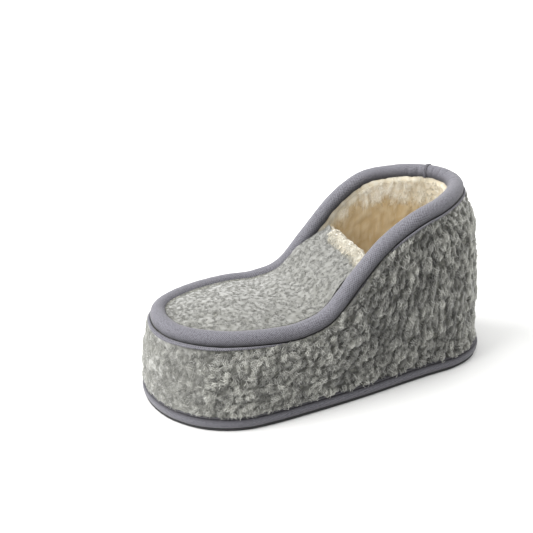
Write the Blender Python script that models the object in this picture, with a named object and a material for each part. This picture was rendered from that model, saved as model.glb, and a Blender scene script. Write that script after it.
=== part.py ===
"""Wool slipper for the left foot: outsole, rolled sole binding, insole, hollow fleece upper, rolled top binding.

Lengths are in millimetres until a mesh is made. Stations run from the back of the heel to the toe, the sides are
named as on the foot: lateral is +Y, medial is -Y. Every section comes from the length, the ball width, the instep
and the heel height, through one table of shares.
"""
import math

import bmesh
import bpy
import numpy as np

MM = 0.001

# Driving sizes of the slipper
LENGTH = 266.5
BALL_HALF_WIDTH = 54.5
TOE_LINE_HEIGHT = 66.0
HEEL_LINE_HEIGHT = 137.9
LINE_BACK = 27.6
LINE_FRONT = 253.6
TOE_SKEW = 10.5
SKEW_START = 149.0
ARCH_DEPTH = 3.0
ARCH_STATION = 112.0
ARCH_REACH = 34.0

# Rows of the last: shares of LENGTH, of BALL_HALF_WIDTH (twice), and of the climb from toe line to heel line
SECTION_COLUMNS = ("station", "sole_half", "line_half", "climb")
SECTIONS = (
    (0.000, 0.000, 0.000, 1.000),
    (0.022, 0.431, 0.270, 0.999),
    (0.060, 0.631, 0.429, 0.992),
    (0.131, 0.778, 0.606, 0.969),
    (0.248, 0.826, 0.727, 0.892),
    (0.338, 0.870, 0.725, 0.709),
    (0.428, 0.917, 0.717, 0.407),
    (0.521, 0.950, 0.734, 0.085),
    (0.619, 0.976, 0.765, -0.010),
    (0.713, 1.000, 0.783, -0.004),
    (0.799, 0.998, 0.734, 0.003),
    (0.863, 0.925, 0.659, 0.004),
    (0.912, 0.811, 0.563, 0.005),
    (0.949, 0.657, 0.459, 0.006),
    (0.976, 0.483, 0.339, 0.006),
    (1.000, 0.000, 0.000, 0.007),
)

# Sole, in heights above the floor
OUTSOLE_THICKNESS = 2.5
OUTSOLE_INSET = 1.2
OUTSOLE_CHAMFER = 0.6
FIT_GAP = 0.3
SOLE_BINDING_TOP = 11.5
SOLE_BINDING_INSIDE = 10.7
INSOLE_TOP = 13.0
INSOLE_EDGE_LIFT = 1.2
INSOLE_EDGE_WIDTH = 9.0
INSOLE_EDGE_ROUND = 1.5

# Rolled binding along the top line
BINDING_RADIUS = 6.0
BINDING_SIDES = 12

# Upper: fleece with its backing
WALL_THICKNESS = 9.0
WALL_BULGE = 2.0
WALL_LEAN_SHARE = 0.5
SHOULDER_SHARE = 0.25
OUTER_CONTACT = math.radians(-33)
COLLAR_CONTACT = math.radians(-147)
VAMP_CONTACT = math.radians(-219)
GROOVE_FLOOR = 4.5
GROOVE_INWARD = 2.0
INNER_TURN = 5
VAMP_THICKNESS = 6.0
VAMP_DOME = 5.0
VAMP_DOME_HALF_WIDTH = 36.0
VAMP_EDGE_HALF_WIDTH = 22.0
THROAT_STATION = 0.39
THROAT_BLEND = 0.10
THROAT_CLEARANCE = 1.0

# Faceting: columns from heel to toe on one side, rows up the wall, points over the vamp
HALF_COLUMNS = 44
STRAIGHT_ROWS = 5
SHOULDER_ROWS = 4
GROOVE_ROWS = 6
INNER_ROWS = 7
VAMP_POINTS = 10

COLUMNS = 2 * HALF_COLUMNS
TABLE = {name: np.array([row[i] for row in SECTIONS]) for i, name in enumerate(SECTION_COLUMNS)}
TABLE_ANGLES = np.arccos(1.0 - 2.0 * TABLE["station"])


def table_value(column, angle):
    """Cubic through the rows of one column; the angle runs from 0 at the heel to pi at the toe."""
    values = TABLE[column]
    slopes = np.gradient(values, TABLE_ANGLES)
    row = np.clip(np.searchsorted(TABLE_ANGLES, angle) - 1, 0, len(values) - 2)
    step = TABLE_ANGLES[row + 1] - TABLE_ANGLES[row]
    t = (angle - TABLE_ANGLES[row]) / step
    start = values[row] * (1 + 2 * t) * (1 - t) ** 2 + slopes[row] * step * t * (1 - t) ** 2
    end = values[row + 1] * (3 - 2 * t) * t ** 2 - slopes[row + 1] * step * t ** 2 * (1 - t)
    return start + end


def loop_angles():
    """Angles of the columns, once around: heel, lateral side, toe, medial side."""
    turn = np.arange(COLUMNS) * 2 * math.pi / COLUMNS
    folded = np.minimum(turn, 2 * math.pi - turn)
    side = np.where(turn <= math.pi, 1.0, -1.0)
    return folded, side


def skew(x):
    """The last swings to the big toe, in front of the instep."""
    return -TOE_SKEW * np.clip((x - SKEW_START) / (LENGTH - SKEW_START), 0, None) ** 3


def outward(loop):
    """Tangents of a closed loop and its level outward normals."""
    tangent = np.roll(loop, -1, axis=0) - np.roll(loop, 1, axis=0)
    tangent /= np.linalg.norm(tangent, axis=1)[:, None]
    normal = np.stack([-tangent[:, 1], tangent[:, 0], np.zeros(len(loop))], axis=1)
    normal /= np.linalg.norm(normal, axis=1)[:, None]
    return tangent, normal


def sole_loop():
    """Outline of the sole binding on the floor, with its outward normals."""
    angle, side = loop_angles()
    x = LENGTH * (1 - np.cos(angle)) / 2
    arch = ARCH_DEPTH * np.exp(-((x - ARCH_STATION) / ARCH_REACH) ** 2) * (side < 0)
    half = BALL_HALF_WIDTH * table_value("sole_half", angle) - arch
    loop = np.stack([x, skew(x) + side * half, np.zeros(COLUMNS)], axis=1)
    return loop, outward(loop)[1]


def top_line():
    """Centre line of the rolled top binding, with its outward and upward normals."""
    angle, side = loop_angles()
    station = (1 - np.cos(angle)) / 2
    x = LINE_BACK + (LINE_FRONT - LINE_BACK) * station
    half = BALL_HALF_WIDTH * table_value("line_half", angle)
    climb = table_value("climb", angle)
    z = TOE_LINE_HEIGHT + (HEEL_LINE_HEIGHT - TOE_LINE_HEIGHT) * climb
    loop = np.stack([x, skew(x) + side * half, z], axis=1)
    tangent, normal = outward(loop)
    return loop, normal, np.cross(tangent, normal)


def around_line(radius, angles):
    """Points at a radius about the top line: an angle for each column, 0 is outward and 90 degrees is up."""
    loop, normal, upward = top_line()
    return loop + radius * (np.cos(angles)[:, None] * normal + np.sin(angles)[:, None] * upward)


def vamp_share():
    """1 in the columns that carry the vamp, 0 in those of the collar, with a short blend at the throat."""
    angle, _ = loop_angles()
    station = (1 - np.cos(angle)) / 2
    t = np.clip((station - THROAT_STATION) / THROAT_BLEND, 0, 1)
    return t * t * (3 - 2 * t)


def wall_steps():
    """Shares of the wall's height at its rows, and how far the shoulder's quarter round has turned in there."""
    straight = 1 - SHOULDER_SHARE
    steps = [(straight * i / STRAIGHT_ROWS, 0.0) for i in range(STRAIGHT_ROWS + 1)]
    for i in range(1, SHOULDER_ROWS + 1):
        turn = math.pi / 2 * i / SHOULDER_ROWS
        steps.append((straight + SHOULDER_SHARE * math.sin(turn), 1 - math.cos(turn)))
    return steps


def wall_row(bottom, top, rise, over):
    """One row of a wall face, which leans in as it rises and then turns over the shoulder."""
    inward = WALL_LEAN_SHARE * rise + (1 - WALL_LEAN_SHARE) * over
    row = bottom + (top - bottom) * inward
    row[:, 2] = bottom[:, 2] + (top[:, 2] - bottom[:, 2]) * rise
    return row


def outer_skin():
    """Rows of the fleece face and of the groove that holds the binding, from the sole to the inside edge."""
    outline, normal = sole_loop()
    bottom = outline + [0, 0, SOLE_BINDING_TOP + FIT_GAP]
    share = vamp_share()
    seat = (BINDING_RADIUS + FIT_GAP + THROAT_CLEARANCE * 4 * share * (1 - share))[:, None]
    last = COLLAR_CONTACT + (VAMP_CONTACT - COLLAR_CONTACT) * share
    contact = around_line(seat, np.full(COLUMNS, OUTER_CONTACT))
    rows = []
    for rise, over in wall_steps():
        rows.append(wall_row(bottom, contact, rise, over) + normal * WALL_BULGE * math.sin(math.pi * rise))
    for i in range(1, GROOVE_ROWS + 1):
        rows.append(around_line(seat, OUTER_CONTACT + (last - OUTER_CONTACT) * i / GROOVE_ROWS))
    return rows


def inner_skin():
    """Rows of the inside face, from the sole up to the collar's rim or the underside of the groove."""
    outline, normal = sole_loop()
    bottom = outline - normal * WALL_THICKNESS + [0, 0, SOLE_BINDING_TOP + FIT_GAP]
    loop, line_normal, upward = top_line()
    seat = BINDING_RADIUS + FIT_GAP
    share = vamp_share()[:, None]
    rim = around_line(seat + GROOVE_FLOOR / 3, np.full(COLUMNS, COLLAR_CONTACT))
    under = loop - line_normal * GROOVE_INWARD - upward * (seat + GROOVE_FLOOR)
    top = rim + (under - rim) * share
    rows = []
    for i in range(INNER_ROWS + 1):
        rise = i / INNER_ROWS
        rows.append(wall_row(bottom, top, rise, rise ** INNER_TURN))
    return rows


def new_object(name, bm, colour, roughness):
    """Turn a bmesh in millimetres into a named object with its own material."""
    bmesh.ops.recalc_face_normals(bm, faces=bm.faces)
    bmesh.ops.scale(bm, vec=(MM, MM, MM), verts=bm.verts)
    mesh = bpy.data.meshes.new(name)
    bm.to_mesh(mesh)
    bm.free()
    material = bpy.data.materials.new(name)
    material.use_nodes = True
    shader = material.node_tree.nodes["Principled BSDF"]
    shader.inputs["Base Color"].default_value = (*colour, 1)
    shader.inputs["Roughness"].default_value = roughness
    mesh.materials.append(material)
    thing = bpy.data.objects.new(name, mesh)
    bpy.context.scene.collection.objects.link(thing)
    return thing


def add_row(bm, points):
    return [bm.verts.new(point) for point in points]


def join_rows(bm, low, high):
    """Close a band between two rows that go once around."""
    for i in range(len(low)):
        j = (i + 1) % len(low)
        bm.faces.new((low[i], low[j], high[j], high[i]))


def band(name, rings, colour, roughness):
    """A closed band: the rings follow one another around its section."""
    bm = bmesh.new()
    rows = [add_row(bm, ring) for ring in rings]
    for i, row in enumerate(rows):
        join_rows(bm, row, rows[(i + 1) % len(rows)])
    return new_object(name, bm, colour, roughness)


def plate(name, rings, colour, roughness):
    """A closed plate: its rings run from the middle of the underside to the middle of the top."""
    bm = bmesh.new()
    rows = [add_row(bm, ring) for ring in rings]
    for low, high in zip(rows, rows[1:]):
        join_rows(bm, low, high)
    for row in (rows[0], rows[-1]):
        for i in range(1, HALF_COLUMNS):
            corners = (row[i - 1], row[i], row[-i], row[1 - i])
            bm.faces.new(corners if i > 1 else (row[0], row[1], row[-1]))
        bm.faces.new((row[HALF_COLUMNS - 1], row[HALF_COLUMNS], row[HALF_COLUMNS + 1]))
    return new_object(name, bm, colour, roughness)


def section_rings(section):
    """Rings of a section around the sole outline: each entry is an inset from the outline and a height."""
    outline, normal = sole_loop()
    return [outline - normal * inset + [0, 0, height] for inset, height in section]


def outsole():
    inset = OUTSOLE_INSET
    section = ((inset + OUTSOLE_CHAMFER, 0.0), (inset, OUTSOLE_CHAMFER), (inset, OUTSOLE_THICKNESS))
    return plate("outsole", section_rings(section), (0.03, 0.03, 0.035), 0.8)


def sole_binding():
    foot = OUTSOLE_THICKNESS + FIT_GAP
    rise = SOLE_BINDING_TOP - foot
    section = ((SOLE_BINDING_INSIDE, foot), (1.2, foot), (0.25, foot + 0.16 * rise), (0.0, foot + 0.42 * rise),
               (0.3, foot + 0.72 * rise), (1.4, foot + 0.94 * rise), (2.8, SOLE_BINDING_TOP),
               (SOLE_BINDING_INSIDE, SOLE_BINDING_TOP))
    return band("sole_binding", section_rings(section), (0.25, 0.25, 0.29), 0.85)


def insole():
    edge = SOLE_BINDING_INSIDE + FIT_GAP
    section = ((edge, OUTSOLE_THICKNESS + FIT_GAP), (edge, INSOLE_TOP),
               (edge + INSOLE_EDGE_ROUND, INSOLE_TOP + INSOLE_EDGE_LIFT),
               (edge + INSOLE_EDGE_WIDTH, INSOLE_TOP))
    return plate("insole", section_rings(section), (0.70, 0.62, 0.48), 0.95)


def top_binding():
    turns = 2 * math.pi / BINDING_SIDES
    rings = [around_line(BINDING_RADIUS, np.full(COLUMNS, turns * i)) for i in range(BINDING_SIDES)]
    return band("top_binding", rings, (0.25, 0.25, 0.29), 0.85)


def outer_rung(left, right, half):
    """Points over the vamp's top, from rail to rail; the dome is highest at the ball and level at the throat."""
    share = np.linspace(0, 1, VAMP_POINTS + 1)[:, None]
    dome = VAMP_DOME * min(1, half / VAMP_DOME_HALF_WIDTH) ** 2
    rung = left + (right - left) * share
    rung[:, 2] += dome * (4 * share * (1 - share))[:, 0]
    return rung


def inner_rung(left, right, half, middle):
    """Points under the vamp, that rise steeply from the groove's floor to the vamp's own thickness."""
    share = np.linspace(0, 1, VAMP_POINTS + 1)[:, None]
    rung = left + (right - left) * share
    rise = (middle - VAMP_THICKNESS - left[2]) * min(1, half / VAMP_EDGE_HALF_WIDTH) ** 1.2
    rung[:, 2] += rise * np.sqrt(1 - np.abs(2 * share[:, 0] - 1) ** 4)
    return rung


def ladder(bm, rungs, edge, tip):
    """Skin a run of rungs between the two edges, closed at the toe on one vertex; give back the first rung."""
    rows = []
    for column, rung in rungs:
        middle = [bm.verts.new(point) for point in rung[1:-1]]
        rows.append([edge[column], *middle, edge[-column]])
    for low, high in zip(rows, rows[1:]):
        for i in range(VAMP_POINTS):
            bm.faces.new((low[i], low[i + 1], high[i + 1], high[i]))
    for i in range(VAMP_POINTS):
        bm.faces.new((rows[-1][i], rows[-1][i + 1], tip))
    return rows[0]


def upper():
    outer_points = outer_skin()
    inner_points = inner_skin()
    angle, _ = loop_angles()
    stations = (1 - np.cos(angle)) / 2
    throat = int(np.argmax(stations[:HALF_COLUMNS] >= THROAT_STATION))
    bm = bmesh.new()
    outer = [add_row(bm, row) for row in outer_points]
    inner = [add_row(bm, row) for row in inner_points]
    for rows in (outer, inner):
        for low, high in zip(rows, rows[1:]):
            join_rows(bm, low, high)
    join_rows(bm, inner[0], outer[0])
    for i in range(COLUMNS):
        j = (i + 1) % COLUMNS
        if i < throat or j == 0 or i >= COLUMNS - throat:
            bm.faces.new((outer[-1][i], outer[-1][j], inner[-1][j], inner[-1][i]))
    outer_rungs = []
    inner_rungs = []
    for column in range(throat, HALF_COLUMNS):
        left, right = outer_points[-1][column], outer_points[-1][-column]
        half = (left[1] - right[1]) / 2
        fade = min(1, (stations[column] - stations[throat]) / (2 * THROAT_BLEND))
        top = outer_rung(left, right, half * fade)
        middle = top[VAMP_POINTS // 2][2]
        outer_rungs.append((column, top))
        inner_rungs.append((column, inner_rung(inner_points[-1][column], inner_points[-1][-column], half, middle)))
    outer_edge = ladder(bm, outer_rungs, outer[-1], outer[-1][HALF_COLUMNS])
    inner_edge = ladder(bm, inner_rungs, inner[-1], inner[-1][HALF_COLUMNS])
    for i in range(VAMP_POINTS):
        bm.faces.new((outer_edge[i], outer_edge[i + 1], inner_edge[i + 1], inner_edge[i]))
    return new_object("upper", bm, (0.30, 0.30, 0.29), 0.95)


def centre_on_floor(things):
    """Move the meshes so that the whole slipper's box stands on the origin."""
    corners = np.array([vertex.co for thing in things for vertex in thing.data.vertices])
    low, high = corners.min(axis=0), corners.max(axis=0)
    shift = (-(low[0] + high[0]) / 2, -(low[1] + high[1]) / 2, -low[2])
    for thing in things:
        for vertex in thing.data.vertices:
            vertex.co += type(vertex.co)(shift)


def main():
    for thing in list(bpy.data.objects):
        bpy.data.objects.remove(thing, do_unlink=True)
    centre_on_floor([outsole(), sole_binding(), insole(), upper(), top_binding()])


main()
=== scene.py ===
# %% [markdown]
# # A wool slipper, dressed on its frame
# The frame holds the slipper's solids: outsole, sole binding, insole, hollow upper and top binding.
# This lesson covers them with what the eye meets on the real thing: curly wool fleece, a cream lining,
# and two rolls of plain cotton binding. Lengths are in millimetres until a mesh is made.

# %% Load the frame
import math
from functools import partial

import bmesh
import bpy
import numpy as np
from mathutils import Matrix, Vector, noise


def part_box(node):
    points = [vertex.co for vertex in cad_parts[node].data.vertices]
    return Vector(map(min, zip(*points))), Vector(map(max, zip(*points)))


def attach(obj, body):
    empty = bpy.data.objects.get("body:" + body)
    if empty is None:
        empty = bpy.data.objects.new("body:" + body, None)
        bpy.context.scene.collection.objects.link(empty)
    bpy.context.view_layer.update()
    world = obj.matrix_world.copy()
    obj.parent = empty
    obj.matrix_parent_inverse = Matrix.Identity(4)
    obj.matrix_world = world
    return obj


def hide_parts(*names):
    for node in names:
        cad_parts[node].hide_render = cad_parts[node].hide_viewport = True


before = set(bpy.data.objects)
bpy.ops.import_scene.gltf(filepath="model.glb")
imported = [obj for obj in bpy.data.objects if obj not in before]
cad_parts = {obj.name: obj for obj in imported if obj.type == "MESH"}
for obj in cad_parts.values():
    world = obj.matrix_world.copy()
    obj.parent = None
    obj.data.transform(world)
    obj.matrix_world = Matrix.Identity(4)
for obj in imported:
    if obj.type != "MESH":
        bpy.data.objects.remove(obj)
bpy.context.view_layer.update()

MM = 0.001

# %% [markdown]
# ## Camera, floor and light
# The picture was taken from in front of the lateral flank, a little above the collar, with a long lens.
# The floor is a sheet of paper that just clips to white. A broad key light comes from the toe's side, a
# little from behind, a wider one from above and a weaker one from the heel's side, so the rolls shade
# softly and the slipper stands in a faint shadow.

# %% Camera
CAMERA_TARGET = Vector((5.1, -84.2, 47.6)) * MM
CAMERA_AZIMUTH = math.radians(66.3)
CAMERA_ELEVATION = math.radians(27.9)
CAMERA_DISTANCE = 886.5 * MM
CAMERA_LENS = 74.5

camera_data = bpy.data.cameras.new("camera")
camera = bpy.data.objects.new("camera", camera_data)
bpy.context.scene.collection.objects.link(camera)
level = math.cos(CAMERA_ELEVATION)
back = Vector((
    level * math.cos(CAMERA_AZIMUTH),
    level * math.sin(CAMERA_AZIMUTH),
    math.sin(CAMERA_ELEVATION),
))
camera.location = CAMERA_TARGET + back * CAMERA_DISTANCE
camera.rotation_mode = "QUATERNION"
camera.rotation_quaternion = back.to_track_quat("Z", "Y")
camera_data.lens = CAMERA_LENS
bpy.context.scene.camera = camera
bpy.context.scene.view_settings.view_transform = "Standard"
print("camera at", [round(v, 3) for v in camera.location])


# %% Nodes and colours
WHITE = (1.0, 1.0, 1.0, 1.0)
COLOUR = {"data_type": "RGBA"}
TIMES = {"data_type": "RGBA", "blend_type": "MULTIPLY"}


def linear(code):
    """An sRGB hex colour as linear RGBA."""
    parts = [int(code[i:i + 2], 16) / 255 for i in (1, 3, 5)]
    return (*[p / 12.92 if p <= 0.04045 else ((p + 0.055) / 1.055) ** 2.4 for p in parts], 1.0)


def fill_inputs(node, inputs):
    """Fill inputs by name from a dict, or in turn; a node stands for its first output that is in use."""
    if not isinstance(inputs, dict):
        used = [i for i, socket in enumerate(node.inputs) if socket.enabled]
        inputs = dict(zip(used, inputs))
    for key, value in inputs.items():
        for source in value if isinstance(value, list) else [value]:
            if isinstance(source, bpy.types.Node):
                source = next(socket for socket in source.outputs if socket.enabled)
            if isinstance(source, bpy.types.NodeSocket):
                node.id_data.links.new(source, node.inputs[key])
            else:
                node.inputs[key].default_value = source


def add_node(tree, kind, inputs=(), stops=(), **settings):
    """Add a node with its settings, its inputs and the stops of its colour ramp."""
    node = tree.nodes.new(kind)
    for name, value in settings.items():
        setattr(node, name, value)
    fill_inputs(node, inputs)
    for i, (place, code) in enumerate(stops):
        elements = node.color_ramp.elements
        element = elements[i] if i < 2 else elements.new(place)
        element.position = place
        element.color = linear(code)
    return node


def new_material(name):
    """A material, what adds nodes to it, and its Principled shader."""
    material = bpy.data.materials.new(name)
    material.use_nodes = True
    return material, partial(add_node, material.node_tree), material.node_tree.nodes["Principled BSDF"]


print("middle grey in linear light:", round(linear("#808080")[0], 3))

# %% Floor and lights
FLOOR_HALF = 30.0
FLOOR_SHADE = "#c2c2c1"
SKY_STRENGTH = 0.6
# Name, way to the light, width of its disc in degrees, power
LIGHTS = (
    ("key", (0.90, -0.16, 0.60), 55, 6.9),
    ("top", (0.15, -0.18, 1.00), 90, 2.8),
    ("fill", (-0.95, 0.00, 0.40), 90, 2.2),
)

floor_mesh = bpy.data.meshes.new("floor")
corners = [(x * FLOOR_HALF, y * FLOOR_HALF, 0) for x, y in ((-1, -1), (1, -1), (1, 1), (-1, 1))]
floor_mesh.from_pydata(corners, [], [(0, 1, 2, 3)])
floor = bpy.data.objects.new("floor", floor_mesh)
bpy.context.scene.collection.objects.link(floor)
paper, _, paper_shader = new_material("studio_paper_matte")
fill_inputs(paper_shader, {"Base Color": linear(FLOOR_SHADE), "Roughness": 0.9})
floor_mesh.materials.append(paper)

for name, towards, softness, power in LIGHTS:
    lamp = bpy.data.lights.new(name, "SUN")
    lamp.angle = math.radians(softness)
    lamp.energy = power
    light = bpy.data.objects.new(name, lamp)
    light.location = Vector(towards)
    light.rotation_mode = "QUATERNION"
    light.rotation_quaternion = Vector(towards).to_track_quat("Z", "Y")
    bpy.context.scene.collection.objects.link(light)

world = bpy.data.worlds.new("studio")
world.use_nodes = True
fill_inputs(world.node_tree.nodes["Background"], {"Color": WHITE, "Strength": SKY_STRENGTH})
bpy.context.scene.world = world
print("lights:", len(LIGHTS))

# %% [markdown]
# ## The last
# A shoe is made on a last, and every piece of it follows the same two lines: the outline of the sole and
# the top line. Both come from one short table of shares of length and ball width, the same one that the
# solids were made from, so the wool lies where the solid upper is. Reading the surface from the solid's
# own facets was the other way, but fleece needs a finer and smoother ground than those facets give.

# %% The last's sizes
LENGTH = 266.5
BALL_HALF_WIDTH = 54.5
TOE_LINE_HEIGHT = 66.0
HEEL_LINE_HEIGHT = 137.9
LINE_BACK = 27.6
LINE_FRONT = 253.6
TOE_SKEW = 10.5
SKEW_START = 149.0
ARCH_DEPTH = 3.0
ARCH_STATION = 112.0
ARCH_REACH = 34.0

SECTION_COLUMNS = ("station", "sole_half", "line_half", "climb")
SECTIONS = (
    (0.000, 0.000, 0.000, 1.000),
    (0.022, 0.431, 0.270, 0.999),
    (0.060, 0.631, 0.429, 0.992),
    (0.131, 0.778, 0.606, 0.969),
    (0.248, 0.826, 0.727, 0.892),
    (0.338, 0.870, 0.725, 0.709),
    (0.428, 0.917, 0.717, 0.407),
    (0.521, 0.950, 0.734, 0.085),
    (0.619, 0.976, 0.765, -0.010),
    (0.713, 1.000, 0.783, -0.004),
    (0.799, 0.998, 0.734, 0.003),
    (0.863, 0.925, 0.659, 0.004),
    (0.912, 0.811, 0.563, 0.005),
    (0.949, 0.657, 0.459, 0.006),
    (0.976, 0.483, 0.339, 0.006),
    (1.000, 0.000, 0.000, 0.007),
)
TABLE = {name: np.array([row[i] for row in SECTIONS]) for i, name in enumerate(SECTION_COLUMNS)}
TABLE_ANGLES = np.arccos(1.0 - 2.0 * TABLE["station"])
print("sections of the last:", len(SECTIONS))


# %% The last's lines
def table_value(column, angle):
    """Cubic through the rows of one column; the angle runs from 0 at the heel to pi at the toe."""
    values = TABLE[column]
    slopes = np.gradient(values, TABLE_ANGLES)
    row = np.clip(np.searchsorted(TABLE_ANGLES, angle) - 1, 0, len(values) - 2)
    step = TABLE_ANGLES[row + 1] - TABLE_ANGLES[row]
    t = (angle - TABLE_ANGLES[row]) / step
    start = values[row] * (1 + 2 * t) * (1 - t) ** 2 + slopes[row] * step * t * (1 - t) ** 2
    end = values[row + 1] * (3 - 2 * t) * t ** 2 - slopes[row + 1] * step * t ** 2 * (1 - t)
    return start + end


def loop_angles(columns):
    """Angles of the columns, once around: heel, lateral side, toe, medial side."""
    turn = np.arange(columns) * 2 * math.pi / columns
    return np.minimum(turn, 2 * math.pi - turn), np.where(turn <= math.pi, 1.0, -1.0)


def skew(x):
    """The last swings to the big toe, in front of the instep."""
    return -TOE_SKEW * np.clip((x - SKEW_START) / (LENGTH - SKEW_START), 0, None) ** 3


def unit(vectors):
    """The same vectors, one long."""
    return vectors / np.linalg.norm(vectors, axis=-1, keepdims=True)


def outward(loop):
    """Tangents of a closed loop and its level outward normals."""
    tangent = unit(np.roll(loop, -1, axis=0) - np.roll(loop, 1, axis=0))
    return tangent, unit(np.stack([-tangent[:, 1], tangent[:, 0], np.zeros(len(loop))], axis=1))


def sole_loop(columns):
    """Outline of the sole binding on the floor, with its outward normals."""
    angle, side = loop_angles(columns)
    x = LENGTH * (1 - np.cos(angle)) / 2
    arch = ARCH_DEPTH * np.exp(-((x - ARCH_STATION) / ARCH_REACH) ** 2) * (side < 0)
    half = BALL_HALF_WIDTH * table_value("sole_half", angle) - arch
    loop = np.stack([x, skew(x) + side * half, np.zeros(columns)], axis=1)
    return loop, outward(loop)[1]


def top_line(columns):
    """Centre line of the rolled top binding, with its outward and upward normals."""
    angle, side = loop_angles(columns)
    x = LINE_BACK + (LINE_FRONT - LINE_BACK) * (1 - np.cos(angle)) / 2
    half = BALL_HALF_WIDTH * table_value("line_half", angle)
    z = TOE_LINE_HEIGHT + (HEEL_LINE_HEIGHT - TOE_LINE_HEIGHT) * table_value("climb", angle)
    loop = np.stack([x, skew(x) + side * half, z], axis=1)
    tangent, normal = outward(loop)
    return loop, normal, np.cross(tangent, normal)


def around_line(columns, radius, angles):
    """Points at a radius about the top line, at one angle or one a column: 0 is outward, 90 degrees is up."""
    loop, normal, upward = top_line(columns)
    angles = np.broadcast_to(angles, columns)[:, None]
    return loop + radius * (np.cos(angles) * normal + np.sin(angles) * upward)


outline, _ = sole_loop(720)
node_low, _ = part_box("sole_binding")
SHIFT = np.array([node_low.x / MM - outline[:, 0].min(), node_low.y / MM - outline[:, 1].min(), 0.0])
print("the frame's origin lies at", (-SHIFT).round(2), "mm on the last")

# %% [markdown]
# ## Meshes from rows
# Every cloth here is a run of rows of points, one row for each height on the wall or each turn around a
# roll. One function joins the rows to quads and moves them from the last to the frame.


# %% Rows to a mesh
def row_faces(rows, count, around, flip):
    """Quads between rows of points; around closes each row on itself."""
    last = count if around else count - 1
    faces = []
    for r in range(rows - 1):
        for i in range(last):
            j = (i + 1) % count
            quad = (r * count + i, r * count + j, (r + 1) * count + j, (r + 1) * count + i)
            faces.append(quad[::-1] if flip else quad)
    return faces


def cloth_mesh(name, points, faces):
    """A smooth mesh in the frame, from points in millimetres on the last."""
    mesh = bpy.data.meshes.new(name)
    mesh.from_pydata(((np.reshape(points, (-1, 3)) + SHIFT) * MM).tolist(), [], faces)
    mesh.shade_smooth()
    return mesh


def piece(name, mesh, material):
    """A finished piece: an object at the origin, on the slipper's only body."""
    mesh.materials.clear()
    mesh.materials.append(material)
    thing = bpy.data.objects.new(name, mesh)
    bpy.context.scene.collection.objects.link(thing)
    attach(thing, "root")
    triangles = sum(len(p.vertices) - 2 for p in mesh.polygons)
    print(name, "has", triangles, "triangles")
    return thing


def grid_normals(grid, around):
    """Unit normals of a grid of rows, out of the side where the rows turn clockwise."""
    along = np.gradient(grid, axis=1)
    if around:
        along = (np.roll(grid, -1, axis=1) - np.roll(grid, 1, axis=1)) / 2
    up = np.gradient(grid, axis=0)
    normal = np.cross(up, along)
    return normal / np.maximum(np.linalg.norm(normal, axis=2), 1e-9)[:, :, None]


def store(mesh, **fields):
    """Keep named numbers at the vertices: an array of them, or one number for all."""
    for name, values in fields.items():
        attribute = mesh.attributes.new(name, "FLOAT", "POINT")
        spread = np.broadcast_to(np.ravel(values), len(mesh.vertices))
        attribute.data.foreach_set("value", np.ascontiguousarray(spread, dtype=np.float32))


def wobble(points, size_mm, seed):
    """Smooth noise from -1 to 1 at each point, about one wave in a size."""
    flat = np.reshape(points, (-1, 3)) / size_mm
    values = [noise.noise(Vector(p) + Vector((seed, 2 * seed, 3 * seed))) for p in flat]
    return np.reshape(values, points.shape[:-1])


print("two closed rows of four points give", len(row_faces(2, 4, True, False)), "quads")

# %% [markdown]
# ## Wool materials
# The fleece is heathered sheep's wool: white, grey and near black fibres carded together, so every lock
# has its own grey and no two neighbours match. Wool is matte with a faint sheen where light grazes the
# fibres. The pile hands over some numbers at each point: heather is the lock's own shade and strand the
# fibre's, tip runs from the root to the end in the light and puts painted shade on the root and on the
# fibre's lower sides, crown runs from the gap between two tufts to the top of one and puts painted shade
# in the gaps, and fibre is the way along the thread. The ground adds pale, which lightens or darkens a
# region, in part as painted light and shade, and even, which takes the painted shade out of roots and
# gaps where the wool is matted.

# %% Heathered wool
# A wool fibre is about 0.03 mm thick, too fine for the picture, so grain and fuzz are drawn at 1 mm
FIBRE_GRAIN_MM = 0.9
GRAIN_SCALE = (0.25 / FIBRE_GRAIN_MM, 1 / FIBRE_GRAIN_MM, 1.0)
GRAIN_APART = 40.0
FUZZ_MM = 1.0
FUZZ_SHARE = 0.5
STRAND_SHARE = 0.7
GRAIN_SHARE = 0.4
BLOTCH_SHARE = 0.3
PALE_GAIN = 0.35
NAP_RELIEF = 0.5 * MM
MATTE_WOOL = {"Roughness": 0.95, "Specular IOR Level": 0.15}


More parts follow.
